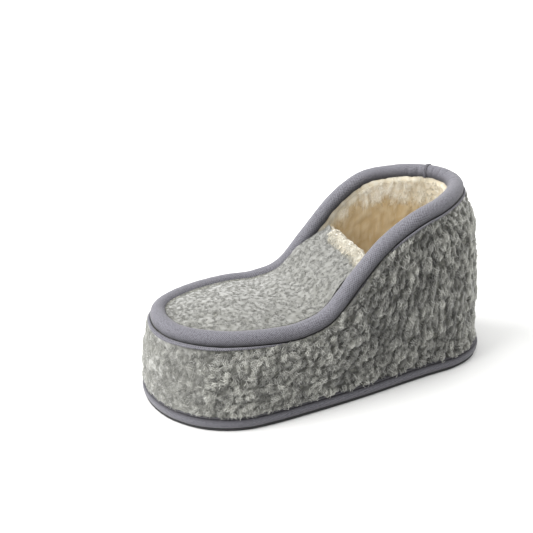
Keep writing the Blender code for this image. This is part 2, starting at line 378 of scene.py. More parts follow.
def heathered_wool(name, shades, root_painted_shade, gap_painted_shade, blotch_mm, sheen, fuzz_bump):
    """Carded wool: mixed fibre colours, painted shade at roots and in gaps, slow blotches over the cloth."""
    material, add, shader = new_material(name)
    lock, fibre, tip, crown, pale, even = [
        add("ShaderNodeAttribute", attribute_name=attribute).outputs["Fac"]
        for attribute in ("heather", "strand", "tip", "crown", "pale", "even")]
    path = add("ShaderNodeAttribute", attribute_name="fibre").outputs["Vector"]
    place = add("ShaderNodeTexCoord").outputs["Object"]
    blotch, fuzz = [
        add("ShaderNodeTexNoise", {"Vector": place, "Scale": 1 / (size * MM), "Detail": 2.0})
        for size in (blotch_mm, FUZZ_MM)]
    lengthwise = add("ShaderNodeVectorMath", (path, GRAIN_SCALE), operation="MULTIPLY")
    apart = add("ShaderNodeMath", (lock, GRAIN_APART), operation="MULTIPLY")
    grain = add("ShaderNodeTexNoise", {"Vector": lengthwise, "W": apart, "Scale": 1.0, "Detail": 2.0},
                noise_dimensions="4D")
    fuzzy = add("ShaderNodeMix", (FUZZ_SHARE, grain, fuzz))
    own = add("ShaderNodeMix", (STRAND_SHARE, lock, fibre))
    mixed = add("ShaderNodeMix", (GRAIN_SHARE, own, fuzzy))
    uneven = add("ShaderNodeMix", (BLOTCH_SHARE, mixed, blotch))
    graded = add("ShaderNodeMath", (pale, PALE_GAIN, uneven), operation="MULTIPLY_ADD")
    tone = add("ShaderNodeValToRGB", (graded,), shades)
    # Painted shade: darker at the fibres' roots and lower sides, and in the gaps between tufts
    for light, dark in ((tip, root_painted_shade), (crown, gap_painted_shade)):
        lit = add("ShaderNodeMath", (light, even), operation="MAXIMUM")
        shade = add("ShaderNodeMix", (lit, linear(dark), WHITE), **COLOUR)
        tone = add("ShaderNodeMix", (1.0, tone, shade), **TIMES)
    nap = add("ShaderNodeBump", {"Height": fuzz, "Strength": fuzz_bump, "Distance": NAP_RELIEF})
    fill_inputs(shader, {"Base Color": tone, "Normal": nap, "Sheen Weight": sheen,
                         "Sheen Roughness": 0.6, **MATTE_WOOL})
    return material


wall_wool = heathered_wool(
    "wool_carded_grey_locks", ((0.15, "#70706b"), (0.5, "#969690"), (1.0, "#c2c2bb")),
    root_painted_shade="#b0b0ac", gap_painted_shade="#8a8a86", blotch_mm=22, sheen=0.6, fuzz_bump=0.4)
vamp_wool = heathered_wool(
    "wool_sheared_grey_nap", ((0.1, "#757572"), (0.5, "#80807c"), (0.9, "#8c8c88")),
    root_painted_shade="#dededb", gap_painted_shade="#d0d0cc", blotch_mm=16, sheen=0.5, fuzz_bump=0.15)
print("wool:", wall_wool.name, vamp_wool.name)

# %% [markdown]
# ### Cream lining
# The lining is a bleached wool fleece, cream at the rim and warm tan deeper down, partly as wear from feet
# and partly as painted shade where the light no longer reaches. The change is blotchy, lock by lock, so a
# noise moves its border. The number rim puts painted shade on the edge that lies in the shade of the
# binding, and over the inside of the heel.

# %% Lining wool
# The streaks stand for strands of fibres, drawn coarser than real ones, so that they show
BLOTCH_MM = 7.0
BLOTCH_SQUEEZE = 0.45
STREAK_MM = 1.6
STREAK_SQUEEZE = 0.16
STREAK_SHARE = 0.45
STREAK_BUMP = 0.5
BORDER_SPREAD = 2.2
ROOT_PAINTED_SHADE_CREAM = "#f2ece1"
STRAND_CREAM = "#ece8e0"
RIM_STOPS = ((0.0, "#ffffff"), (1.0, "#57534c"), (0.5, "#d8d6d0"))


def cream_wool(name, stops):
    """Bleached wool: the ground says how cream it is, and blotches and upright streaks move the border."""
    material, add, shader = new_material(name)
    cream, fibre, tip, crown, rim = [
        add("ShaderNodeAttribute", attribute_name=attribute).outputs["Fac"]
        for attribute in ("cream", "strand", "tip", "crown", "rim")]
    place = add("ShaderNodeTexCoord").outputs["Object"]
    noises = []
    for size, squeeze in ((BLOTCH_MM, BLOTCH_SQUEEZE), (STREAK_MM, STREAK_SQUEEZE)):
        upright = add("ShaderNodeVectorMath", (place, (1.0, 1.0, squeeze)), operation="MULTIPLY")
        noises.append(add("ShaderNodeTexNoise", {"Vector": upright, "Scale": 1 / (size * MM), "Detail": 2.0}))
    uneven = add("ShaderNodeMix", (STREAK_SHARE, *noises))
    level = add("ShaderNodeMath", (uneven, 0.5), operation="SUBTRACT")
    border = add("ShaderNodeMath", (level, BORDER_SPREAD, cream), operation="MULTIPLY_ADD")
    tone = add("ShaderNodeValToRGB", (border,), stops)
    # Painted shade at the fibres' roots and lower sides and in the gaps between tufts
    lit = add("ShaderNodeMath", (tip, crown), operation="MAXIMUM")
    for light, dark in ((lit, ROOT_PAINTED_SHADE_CREAM), (fibre, STRAND_CREAM)):
        shade = add("ShaderNodeMix", (light, linear(dark), WHITE), **COLOUR)
        tone = add("ShaderNodeMix", (1.0, tone, shade), **TIMES)
    # rim: painted shade near the binding and over the heel's inside
    rim_painted_shade = add("ShaderNodeValToRGB", (rim,), RIM_STOPS)
    colour = add("ShaderNodeMix", (1.0, tone, rim_painted_shade), **TIMES)
    nap = add("ShaderNodeBump", {"Height": noises[1], "Strength": STREAK_BUMP, "Distance": NAP_RELIEF})
    fill_inputs(shader, {"Base Color": colour, "Normal": nap, "Sheen Weight": 0.2, **MATTE_WOOL})
    return material


lining_wool = cream_wool("wool_cream_lining_pile", ((0.20, "#e3d5b9"), (0.70, "#fffffc"), (0.44, "#eee8da")))
fringe_wool = cream_wool("wool_cream_edge_pile", ((0.20, "#8f8f8a"), (1.00, "#c3c1b9"), (0.60, "#adaba3")))
print("lining:", lining_wool.name, fringe_wool.name)

# %% [markdown]
# ### Binding cloth and sole sheet
# The binding is a bias strip of plain-weave cotton, folded over a cord: matte, with a thread grid that
# runs slantwise because the strip is cut on the bias. Its real thread spacing of 0.4 mm is too fine for
# the picture, so it is drawn at 1.1 mm. The outsole is a sheet of black foam rubber with a fine pebble.

# %% Binding cotton
THREAD_MM = 1.1
WAVES_PER_UNIT = 0.314
BIAS = math.radians(45)
SLUB_SHARE = 0.62
WEAVE_BUMP = 0.35
WEAVE_RELIEF = 0.3 * MM
DITCH_PAINTED_SHADE = "#8e8c8e"

binding_cloth, add, cloth_shader = new_material("cotton_plain_weave_bias_binding")
strip = add("ShaderNodeUVMap", uv_map="strip")
turned = add("ShaderNodeMapping", {"Vector": strip, "Rotation": (0, 0, BIAS)})
warp_and_weft = [
    add("ShaderNodeTexWave",
        {"Vector": turned, "Scale": WAVES_PER_UNIT / THREAD_MM, "Distortion": 2.0, "Detail": 2.0},
        wave_type="BANDS", bands_direction=way).outputs["Fac"]
    for way in ("X", "Y")]
threads = add("ShaderNodeMath", warp_and_weft, operation="MAXIMUM")
slub = add("ShaderNodeTexNoise", {"Vector": strip, "Scale": 0.8, "Detail": 3.0})
mottle = add("ShaderNodeMix", (SLUB_SHARE, threads, slub))
dyed = add("ShaderNodeValToRGB", (mottle,), ((0.38, "#2c2b30"), (0.68, "#636268")))
# under: painted shade in the rolls' ditches, on their inner side and at the join's ends
under = add("ShaderNodeAttribute", attribute_name="under").outputs["Fac"]
ditch_painted_shade = add("ShaderNodeMix", (under, WHITE, linear(DITCH_PAINTED_SHADE)), **COLOUR)
cloth_tone = add("ShaderNodeMix", (1.0, dyed, ditch_painted_shade), **TIMES)
weave = add("ShaderNodeBump", {"Height": mottle, "Strength": WEAVE_BUMP, "Distance": WEAVE_RELIEF})
fill_inputs(cloth_shader, {"Base Color": cloth_tone, "Normal": weave, "Roughness": 0.85,
                           "Specular IOR Level": 0.25, "Sheen Weight": 0.15})
print("binding:", binding_cloth.name)


# %% Foam rubber of the outsole and dark backing of the wool
def grained(name, grain_mm, top, gap, bump, deep_mm, roughness):
    """A sheet of small round grains, with painted shade between them, so they are paler on top."""
    material, add, shader = new_material(name)
    place = add("ShaderNodeTexCoord").outputs["Object"]
    grains = add("ShaderNodeTexVoronoi", {"Vector": place, "Scale": 1 / (grain_mm * MM)})
    colour = add("ShaderNodeValToRGB", (grains,), ((0.0, top), (0.7, gap)))
    relief = add("ShaderNodeBump", {"Height": grains, "Strength": bump, "Distance": deep_mm * MM},
                 invert=True)
    fill_inputs(shader, {"Base Color": colour, "Normal": relief, "Roughness": roughness})
    return material


sole_rubber = grained("foam_rubber_pebbled_sheet", grain_mm=1.6, top="#1e1e20", gap="#131315",
                      bump=0.5, deep_mm=0.4, roughness=0.7)
# The knitted ground is real, but it is coloured darker than the wool to stand for the shade in the gaps
backing_knit = grained("wool_knitted_backing", grain_mm=2.0, top="#77776f", gap="#4a4a46",
                       bump=0.6, deep_mm=0.6, roughness=0.95)
print("sole and backing:", sole_rubber.name, backing_knit.name)

# %% [markdown]
# ## The upper's skins
# The upper is one fleece shell. Its outer skin climbs from the sole binding, leans in and turns over a
# soft shoulder to the top binding. Its inner skin is the lining's ground. Over the foot the two sides are
# joined by the vamp. These are the solid's own rules, on a finer grid.

# %% Sizes of the skins
FIT_GAP = 0.3
SOLE_BINDING_TOP = 11.5
BINDING_RADIUS = 6.0
WALL_THICKNESS = 9.0
WALL_BULGE = 2.0
WALL_LEAN_SHARE = 0.5
SHOULDER_SHARE = 0.25
SHOULDER_START = 0.62
OUTER_CONTACT = math.radians(-33)
COLLAR_CONTACT = math.radians(-147)
VAMP_CONTACT = math.radians(-219)
GROOVE_FLOOR = 4.5
GROOVE_INWARD = 2.0
INNER_TURN = 5
VAMP_THICKNESS = 6.0
VAMP_DOME = 5.0
VAMP_DOME_HALF_WIDTH = 36.0
VAMP_EDGE_HALF_WIDTH = 22.0
THROAT_STATION = 0.39
THROAT_BLEND = 0.10
THROAT_CLEARANCE = 1.0


def smooth_step(low, high, values):
    """0 below low, 1 above high, with soft ends."""
    t = np.clip((np.asarray(values, float) - low) / (high - low), 0, 1)
    return t * t * (3 - 2 * t)


def stations_of(columns):
    """Share of the length, from heel to toe, at each column."""
    return (1 - np.cos(loop_angles(columns)[0])) / 2


def vamp_share(columns):
    """1 in the columns that carry the vamp, 0 in those of the collar."""
    return smooth_step(THROAT_STATION, THROAT_STATION + THROAT_BLEND, stations_of(columns))


def binding_seat(columns):
    """Radius of the groove about the top line."""
    share = vamp_share(columns)
    return (BINDING_RADIUS + FIT_GAP + THROAT_CLEARANCE * 4 * share * (1 - share))[:, None]


def wall_row(bottom, top, rise, over):
    """One row of a wall face, which leans in as it rises and then turns over the shoulder."""
    inward = WALL_LEAN_SHARE * rise + (1 - WALL_LEAN_SHARE) * over
    row = bottom + (top - bottom) * inward
    row[:, 2] = bottom[:, 2] + (top[:, 2] - bottom[:, 2]) * rise
    return row


def outer_wall(columns, rows):
    """The fleece face from the sole to the binding, as a grid of evenly spread rows."""
    edge, normal = sole_loop(columns)
    bottom = edge + [0, 0, SOLE_BINDING_TOP + FIT_GAP]
    contact = around_line(columns, binding_seat(columns), OUTER_CONTACT)
    straight = 1 - SHOULDER_SHARE
    grid = []
    for share in np.linspace(0, 1, rows):
        turn = max(0.0, (share - SHOULDER_START) / (1 - SHOULDER_START)) * math.pi / 2
        rise = straight * share / SHOULDER_START
        if share >= SHOULDER_START:
            rise = straight + SHOULDER_SHARE * math.sin(turn)
        over = 1 - math.cos(turn)
        grid.append(wall_row(bottom, contact, rise, over) + normal * WALL_BULGE * math.sin(math.pi * rise))
    return np.array(grid)


def inner_wall(columns, rows):
    """The inside face, from the sole up to the collar's rim or the underside of the groove."""
    edge, normal = sole_loop(columns)
    bottom = edge - normal * WALL_THICKNESS + [0, 0, SOLE_BINDING_TOP + FIT_GAP]
    line, line_normal, upward = top_line(columns)
    seat = BINDING_RADIUS + FIT_GAP
    share = vamp_share(columns)[:, None]
    rim = around_line(columns, seat + GROOVE_FLOOR / 3, COLLAR_CONTACT)
    under = line - line_normal * GROOVE_INWARD - upward * (seat + GROOVE_FLOOR)
    top = rim + (under - rim) * share
    return np.array([wall_row(bottom, top, rise, rise ** INNER_TURN) for rise in np.linspace(0, 1, rows)])


def groove(columns, rows):
    """The seat of the binding, from the outer contact to the inside edge."""
    share = vamp_share(columns)
    last = COLLAR_CONTACT + (VAMP_CONTACT - COLLAR_CONTACT) * share
    angles = [OUTER_CONTACT + (last - OUTER_CONTACT) * i / rows for i in range(rows + 1)]
    return np.array([around_line(columns, binding_seat(columns), angle) for angle in angles])


def vamp_rungs(columns, points, edge, under=None):
    """Rungs across the foot from the throat to the toe: over the vamp, or under it with the inside edge."""
    stations = stations_of(columns)
    half_columns = columns // 2
    throat = int(np.argmax(stations[:half_columns] >= THROAT_STATION))
    share = np.linspace(0, 1, points)
    rungs = []
    for column in range(throat, half_columns):
        left, right = edge[column], edge[-column]
        half = (left[1] - right[1]) / 2
        fade = min(1, (stations[column] - stations[throat]) / (2 * THROAT_BLEND))
        dome = VAMP_DOME * min(1, half * fade / VAMP_DOME_HALF_WIDTH) ** 2
        rung = left + (right - left) * share[:, None]
        rung[:, 2] += dome * 4 * share * (1 - share)
        if under is not None:
            middle = rung[points // 2][2]
            low_left, low_right = under[column], under[-column]
            rung = low_left + (low_right - low_left) * share[:, None]
            rise = (middle - VAMP_THICKNESS - low_left[2]) * min(1, half / VAMP_EDGE_HALF_WIDTH) ** 1.2
            rung[:, 2] += rise * np.sqrt(1 - np.abs(2 * share - 1) ** 4)
        rungs.append(rung)
    return np.array(rungs), throat


print("wall is", round(float(outer_wall(88, 9)[-1, 0, 2]), 1), "mm high at the heel")

# %% [markdown]
# ## The backing
# Under the locks lies the knitted ground that holds them. It is one closed shell with the upper's form,
# set in from the fleece face by the depth of the pile, and it is what the eye finds in the gaps.
# The main creases of the flank are pressed into it one by one, as soft troughs and ridges.

# %% Backing shell
PILE_DEPTH = 3.4
TOP_EDGE_REACH = 9.0
VAMP_NAP_DEPTH = 1.6
HEEL_FLATTENING = 1.8
# Share of the way round, height, half length, half width, lean in degrees, depth; below zero a ridge
WALL_CREASES = (
    (0.135, 88, 13, 3.0, -18, 2.2),
    (0.150, 84, 12, 2.6, -14, 1.8),
    (0.118, 86, 14, 3.2, -20, -0.9),
    (0.205, 46, 16, 5.0, 20, 1.8),
    (0.245, 40, 14, 5.0, 12, 1.4),
    (0.100, 45, 22, 4.0, 4, 0.8),
    (0.060, 60, 26, 4.0, 0, 0.8),
    (0.345, 36, 10, 4.5, -25, 0.8),
    (0.855, 80, 16, 3.5, 16, 1.4),
    (0.790, 46, 16, 5.0, -18, 1.2),
    (0.930, 60, 24, 4.0, 0, 0.8),
    (0.680, 36, 10, 4.5, 20, 0.8),
)
SHELL_COLUMNS = 220
SHELL_ROWS = 20
SHELL_POINTS = 25
GROOVE_ROWS = 8


def wall_creases(grid):
    """Depth of the soft troughs at each point of the wall; below zero it is a ridge."""
    along = np.linalg.norm(np.diff(grid[0], axis=0, append=grid[0][:1]), axis=1)
    around = np.cumsum(along) - along
    total = along.sum()
    depth = np.zeros(grid.shape[:2])
    for share, height, half_long, half_wide, lean, deep in WALL_CREASES:
        aside = (around - share * total + total / 2) % total - total / 2
        above = grid[:, :, 2] - height
        lengthwise = aside * math.sin(math.radians(lean)) + above * math.cos(math.radians(lean))
        sideways = aside * math.cos(math.radians(lean)) - above * math.sin(math.radians(lean))
        depth += deep * np.exp(-(lengthwise / half_long) ** 2 - (sideways / half_wide) ** 2)
    return depth


def sunk_wall(columns, rows, depth):
    """The fleece face set in by a depth, which runs out under the binding and stays over the sole."""
    grid = outer_wall(columns, rows)
    from_top = np.linalg.norm(grid - grid[-1], axis=2)
    heel = smooth_step(0.12, 0.0, stations_of(columns)) * HEEL_FLATTENING
    sink = (depth + heel + wall_creases(grid)) * smooth_step(0.0, TOP_EDGE_REACH, from_top)
    sunk = grid - grid_normals(grid, True) * sink[:, :, None]
    sunk[:, :, 2] = np.maximum(sunk[:, :, 2], SOLE_BINDING_TOP + FIT_GAP)
    return sunk


def backing_shell():
    """Closed shell: sunk wall, groove, inner wall, and the vamp over and under."""
    columns = SHELL_COLUMNS
    half = columns // 2
    outer = np.concatenate([sunk_wall(columns, SHELL_ROWS, PILE_DEPTH), groove(columns, GROOVE_ROWS)[1:]])
    inner = inner_wall(columns, SHELL_ROWS)
    over, throat = vamp_rungs(columns, SHELL_POINTS, outer[-1])
    over[:, 1:-1, 2] -= VAMP_NAP_DEPTH
    under, _ = vamp_rungs(columns, SHELL_POINTS, outer[-1], inner[-1])
    bm = bmesh.new()
    outer_rows = [[bm.verts.new(p) for p in row] for row in outer]
    inner_rows = [[bm.verts.new(p) for p in row] for row in inner]
    for rows in (outer_rows, inner_rows, [inner_rows[0], outer_rows[0]]):
        for low, high in zip(rows, rows[1:]):
            for i in range(columns):
                j = (i + 1) % columns
                bm.faces.new((low[i], low[j], high[j], high[i]))
    for i in range(-throat, throat):
        bm.faces.new((outer_rows[-1][i], outer_rows[-1][i + 1], inner_rows[-1][i + 1], inner_rows[-1][i]))
    first = []
    for rungs, edge in ((over, outer_rows[-1]), (under, inner_rows[-1])):
        ladder = []
        for k, rung in enumerate(rungs):
            middle = [bm.verts.new(p) for p in rung[1:-1]]
            ladder.append([edge[throat + k], *middle, edge[-(throat + k)]])
        ladder.append([edge[half]] * SHELL_POINTS)
        for low, high in zip(ladder, ladder[1:]):
            for i in range(SHELL_POINTS - 1):
                quad = (low[i], low[i + 1], high[i + 1], high[i])
                bm.faces.new(quad if high[i] is not high[i + 1] else quad[:3])
        first.append(ladder[0])
    for i in range(SHELL_POINTS - 1):
        bm.faces.new((first[0][i], first[0][i + 1], first[1][i + 1], first[1][i]))
    bmesh.ops.recalc_face_normals(bm, faces=bm.faces)
    for vertex in bm.verts:
        vertex.co = (vertex.co + Vector(SHIFT)) * MM
    mesh = bpy.data.meshes.new("upper_backing")
    bm.to_mesh(mesh)
    bm.free()
    mesh.shade_smooth()
    return mesh


upper_backing = piece("upper_backing", backing_shell(), backing_knit)
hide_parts("upper")

# %% [markdown]
# ## Locks of wool
# Curly fleece clings together in rounded tufts with dark gaps between them, and each tuft is covered with
# fine fibres that lie close to it. So the ground is raised in tufts, and over it lie locks: small handfuls
# of fibres that rise from the ground, bow and end on it again. A fibre has three flat sides and one or two
# bends, so a lock keeps to a few dozen faces. A particle system could grow more hair, but it leaves no
# mesh behind; Geometry Nodes scatter the locks, comb them and make them real.

# %% A lock
ROOT_DEPTH = 0.25
BEND_STEP = 2.0
LOCK_COLUMNS = ("kinds", "seed", "fibres", "bends", "long", "patch", "rise", "width", "curl", "fan")
LOCKS = {
    "heel_lock": (7, 81, 5, 2, 3.6, 2.0, 0.50, 0.25, 0.7, 0.60),
    "toe_lock": (7, 91, 5, 2, 4.7, 2.3, 0.55, 0.22, 0.7, 0.45),
    "nap_lock": (8, 31, 7, 2, 3.2, 2.3, 0.25, 0.19, 0.7, 1.20),
    "lining_lock": (6, 51, 6, 1, 3.4, 2.0, 0.20, 0.20, 0.5, 0.40),
    "fringe_lock": (6, 71, 6, 2, 4.6, 2.2, 0.50, 0.22, 0.6, 0.60),
}


def fibre_path(rng, bends, long, patch, rise, curl, fan):
    """Points along one fibre that lies on the ground, and the heading at each of them, in millimetres."""
    reach = long * rng.uniform(0.6, 1.25)
    turn = rng.normal(0, curl)
    headings = rng.normal(0, fan) + turn * (np.arange(bends + 1) - bends / 2)
    steps = np.stack([np.cos(headings), np.sin(headings)], axis=1) * reach / (bends + 1)
    flat = np.concatenate([[[0.0, 0.0]], np.cumsum(steps, axis=0)])
    flat += rng.uniform(-patch / 2, patch / 2, 2) - flat.mean(axis=0)
    heights = [-ROOT_DEPTH, *(rise * rng.uniform(0.6, 1.3, bends)), rise * rng.uniform(-0.3, 0.7)]
    return np.column_stack([flat, heights]), headings


def lock_object(name, seed, fibres, width, **sizes):
    """A handful of fibres along X, each a three-sided thread with a point at both ends."""
    rng = np.random.default_rng(seed)
    points, faces, light, strand, path = [], [], [], [], []
    for _ in range(fibres):
        first = len(points)
        middle, headings = fibre_path(rng, **sizes)
        bends = len(middle) - 2
        points.append(middle[0])
        for k in range(1, bends + 1):
            heading = (headings[k - 1] + headings[k]) / 2
            side = np.array([-math.sin(heading), math.cos(heading), 0.0]) * width / 2
            over = np.array([0, 0, width / 2])
            points += [middle[k] + side - over, middle[k] + over, middle[k] - side - over]
        points.append(middle[-1])
        last = len(points) - 1
        for corner in range(3):
            here, after = first + 1 + corner, first + 1 + (corner + 1) % 3
            faces.append((first, after, here))
            for k in range(bends - 1):
                faces.append((here + 3 * k, after + 3 * k, after + 3 * k + 3, here + 3 * k + 3))
            faces.append((last, here + 3 * bends - 3, after + 3 * bends - 3))
        # tip paints light and shade on each fibre: dark at the root, lit on top, shaded on its lower sides
        light += [0.2] + [0.5, 1.0, 0.5] * bends + [0.8]
        strand += [rng.uniform(0, 1)] * (3 * bends + 2)
        path += [(0.0, 0.0, first)]
        path += [(k * BEND_STEP, aside * width, first) for k in range(1, bends + 1) for aside in (1, 0, -1)]
        path += [((bends + 1) * BEND_STEP, 0.0, first)]
    mesh = bpy.data.meshes.new(name)
    mesh.from_pydata((np.array(points) * MM).tolist(), [], faces)
    store(mesh, tip=light, strand=strand)
    paths = mesh.attributes.new("fibre", "FLOAT_VECTOR", "POINT")
    paths.data.foreach_set("vector", np.array(path, dtype=np.float32).ravel())
    return bpy.data.objects.new(name, mesh)


def lock_kinds(name):
    """The few locks of one sort, no two alike."""
    sizes = dict(zip(LOCK_COLUMNS, LOCKS[name]))
    kinds = sizes.pop("kinds")
    seed = sizes.pop("seed")
    return [lock_object("%s_%d" % (name, k), seed + k, **sizes) for k in range(kinds)]


print("sorts of lock:", len(LOCKS))

# %% The pile tree
PILE_INPUTS = (
    ("Ground", "NodeSocketGeometry"),
    ("Wool", "NodeSocketMaterial"),
    ("Locks per square metre", "NodeSocketFloat"),
    ("Lock spacing", "NodeSocketFloat"),
    ("Seed", "NodeSocketInt"),
    ("Tuft size", "NodeSocketFloat"),
    ("Tuft height", "NodeSocketFloat"),
    ("Gather", "NodeSocketFloat"),
    ("Locks in the gaps", "NodeSocketFloat"),
    ("Smallest lock", "NodeSocketFloat"),
    ("Largest lock", "NodeSocketFloat"),
)
# Values of the inputs after the first two
PILES = {
    "wall": (700e3, 1.25 * MM, 3, 3.7 * MM, 5.0 * MM, 0.3, 0.3, 0.8, 1.2),
    "vamp": (400e3, 1.5 * MM, 5, 4.0 * MM, 0.9 * MM, 0.5, 0.6, 0.7, 1.15),
    "lining": (600e3, 1.4 * MM, 9, 4.2 * MM, 1.2 * MM, 0.3, 0.6, 0.7, 1.15),
    "fringe": (1000e3, 0.95 * MM, 13, 4.2 * MM, 0.5 * MM, 0.3, 1.0, 0.7, 1.15),
}
SWAY_WAVE = 9 * MM
SWAY = 6 * MM
SWIRL_WAVE = 11 * MM
TUFT_EDGE = 0.35
CROWN_FROM = -0.05
CROWN_TO = 0.30
COMB = (0.0, 0.0, -1.0)
LOOSE = 0.1
HEATHER_SEED = 7
PLAIN_SEED = 21
CURLY_SEED = 22
SORT_SEED = 23


def pile_tree(locks, curly_locks=()):
    """Scatter locks over a ground raised in tufts; the ground says how far it swirls and stretches."""
    tree = bpy.data.node_groups.new("wool_pile", "GeometryNodeTree")
    for name, kind in PILE_INPUTS:
        tree.interface.new_socket(name=name, in_out="INPUT", socket_type=kind)
    tree.interface.new_socket(name="Pile", in_out="OUTPUT", socket_type="NodeSocketGeometry")
    add = partial(add_node, tree)
    given = add("NodeGroupInput").outputs
    place = add("GeometryNodeInputPosition")
    normal = add("GeometryNodeInputNormal")
    stretch, swirl, thick, loft, curly, kept_crown = [
        add("GeometryNodeInputNamedAttribute", {"Name": name}, data_type="FLOAT")
        for name in ("stretch", "swirl", "density", "loft", "curly", "crown")]

    # Tufts: cells of about one tuft, taller than wide where the ground says so
    squeeze = add("ShaderNodeMath", (1.0, stretch), operation="DIVIDE")
    flat = add("ShaderNodeCombineXYZ", (1.0, 1.0, squeeze))
    tall = add("ShaderNodeCombineXYZ", (1.0, 1.0, stretch))
    sway = add("ShaderNodeTexNoise", {"Vector": place, "Scale": 1 / SWAY_WAVE, "Detail": 3.0})
    level = add("ShaderNodeVectorMath", (sway.outputs["Color"], (0.5, 0.5, 0.5)), operation="SUBTRACT")
    moved = add("ShaderNodeVectorMath", (level, (SWAY, SWAY, SWAY), place), operation="MULTIPLY_ADD")
    squeezed = add("ShaderNodeVectorMath", (moved, flat), operation="MULTIPLY")
    fine = add("ShaderNodeMath", (1.0, given["Tuft size"]), operation="DIVIDE")
    cells = add("ShaderNodeTexVoronoi", {"Vector": squeezed, "Scale": fine})
    middle = add("ShaderNodeVectorMath", (cells.outputs["Position"], tall), operation="MULTIPLY")
    fall = add("ShaderNodeMath", (cells.outputs["Distance"], 2.0), operation="POWER")
    dome = add("ShaderNodeMath", (TUFT_EDGE, fall), operation="SUBTRACT")
    lofty = add("ShaderNodeMath", (loft, given["Tuft height"]), operation="MULTIPLY")
    height = add("ShaderNodeMath", (dome, lofty), operation="MULTIPLY")
    crown = add("ShaderNodeMapRange", (dome, CROWN_FROM, CROWN_TO))
    lift = add("ShaderNodeVectorMath", (normal, height), operation="SCALE")
    marked = add("GeometryNodeStoreNamedAttribute",
                 {"Geometry": given["Ground"], "Name": "crown", "Value": crown},
                 data_type="FLOAT", domain="POINT")
    tufted = add("GeometryNodeSetPosition", {"Geometry": marked, "Offset": lift})

    # Locks: rooted on the tufts and seldom in the gaps, leaning to the middle of their tuft
    on_tuft = add("ShaderNodeMapRange", {"Value": kept_crown, "To Min": given["Locks in the gaps"]})
    grown = add("ShaderNodeMath", (thick, on_tuft), operation="MULTIPLY")
    dots = add("GeometryNodeDistributePointsOnFaces",
               {"Mesh": tufted, "Distance Min": given["Lock spacing"], "Density Factor": grown,
                "Density Max": given["Locks per square metre"], "Seed": given["Seed"]},
               distribute_method="POISSON")
    planned = add("GeometryNodeStoreNamedAttribute",
                  {"Geometry": dots, "Name": "up", "Value": dots.outputs["Normal"]},
                  data_type="FLOAT_VECTOR", domain="POINT")
    up = add("GeometryNodeInputNamedAttribute", {"Name": "up"}, data_type="FLOAT_VECTOR")
    inwards = add("ShaderNodeVectorMath", (middle, place), operation="SUBTRACT")
    share = add("ShaderNodeMath", (given["Gather"], given["Tuft size"]), operation="DIVIDE")
    pull = add("ShaderNodeVectorMath", (inwards, share), operation="SCALE")
    stand = add("ShaderNodeVectorMath", (up, pull), operation="ADD")

    # Comb: down the wall, turned about the normal by a slow swirl and a little at random
    waves = add("ShaderNodeTexNoise", {"Vector": place, "Scale": 1 / SWIRL_WAVE, "Detail": 1.0})
    centred = add("ShaderNodeMath", (waves, 0.5), operation="SUBTRACT")
    swirled = add("ShaderNodeMath", (centred, swirl), operation="MULTIPLY")
    loose, size, shade = [
        add("FunctionNodeRandomValue", {2: low, 3: high, "Seed": seed}, data_type="FLOAT")
        for low, high, seed in ((-LOOSE, LOOSE, given["Seed"]),
                                (given["Smallest lock"], given["Largest lock"], given["Seed"]),
                                (0.0, 1.0, HEATHER_SEED))]
    angle = add("ShaderNodeMath", (loose, swirl, swirled), operation="MULTIPLY_ADD")
    combed = add("ShaderNodeVectorRotate", {"Vector": COMB, "Axis": up, "Angle": angle},
                 rotation_type="AXIS_ANGLE")
    upright = add("FunctionNodeAlignRotationToVector", {"Vector": stand}, axis="Z")
    turned = add("FunctionNodeAlignRotationToVector", {"Rotation": upright, "Vector": combed},
                 axis="X", pivot_axis="Z")
    combed_long = add("ShaderNodeMath", (stretch, 0.3, 0.7), operation="MULTIPLY_ADD")
    long = add("ShaderNodeMath", (size, combed_long), operation="MULTIPLY")
    shape = add("ShaderNodeCombineXYZ", (long, size, size))

    # Plant: one lock of the plain or of the curly sort on each dot, each with its own shade
    kinds = [add("GeometryNodeObjectInfo", {"Object": lock, "As Instance": True}).outputs["Geometry"]
             for lock in [*locks, *curly_locks]]
    choice = add("GeometryNodeJoinGeometry", (kinds[::-1],))
    plain = len(locks)
    plain_kind, curly_kind = [
        add("FunctionNodeRandomValue", {4: low, 5: high, "Seed": seed}, data_type="INT")
        for low, high, seed in ((0, plain - 1, PLAIN_SEED),
                                (plain, max(len(kinds) - 1, plain), CURLY_SEED))]
    is_curly = add("FunctionNodeRandomValue", {"Probability": curly, "Seed": SORT_SEED}, data_type="BOOLEAN")
    pick = add("GeometryNodeSwitch", (is_curly, plain_kind, curly_kind), input_type="INT")
    planted = add("GeometryNodeInstanceOnPoints",
                  {"Points": planned, "Instance": choice, "Pick Instance": True, "Instance Index": pick,
                   "Rotation": turned, "Scale": shape})
    heathered = add("GeometryNodeStoreNamedAttribute",
                    {"Geometry": planted, "Name": "heather", "Value": shade},
                    data_type="FLOAT", domain="INSTANCE")
    both = add("GeometryNodeJoinGeometry", ([heathered, tufted],))
    real = add("GeometryNodeRealizeInstances", {"Geometry": both})
    woolly = add("GeometryNodeSetMaterial", {"Geometry": real, "Material": given["Wool"]})
    add("NodeGroupOutput", (woolly,))
    return tree


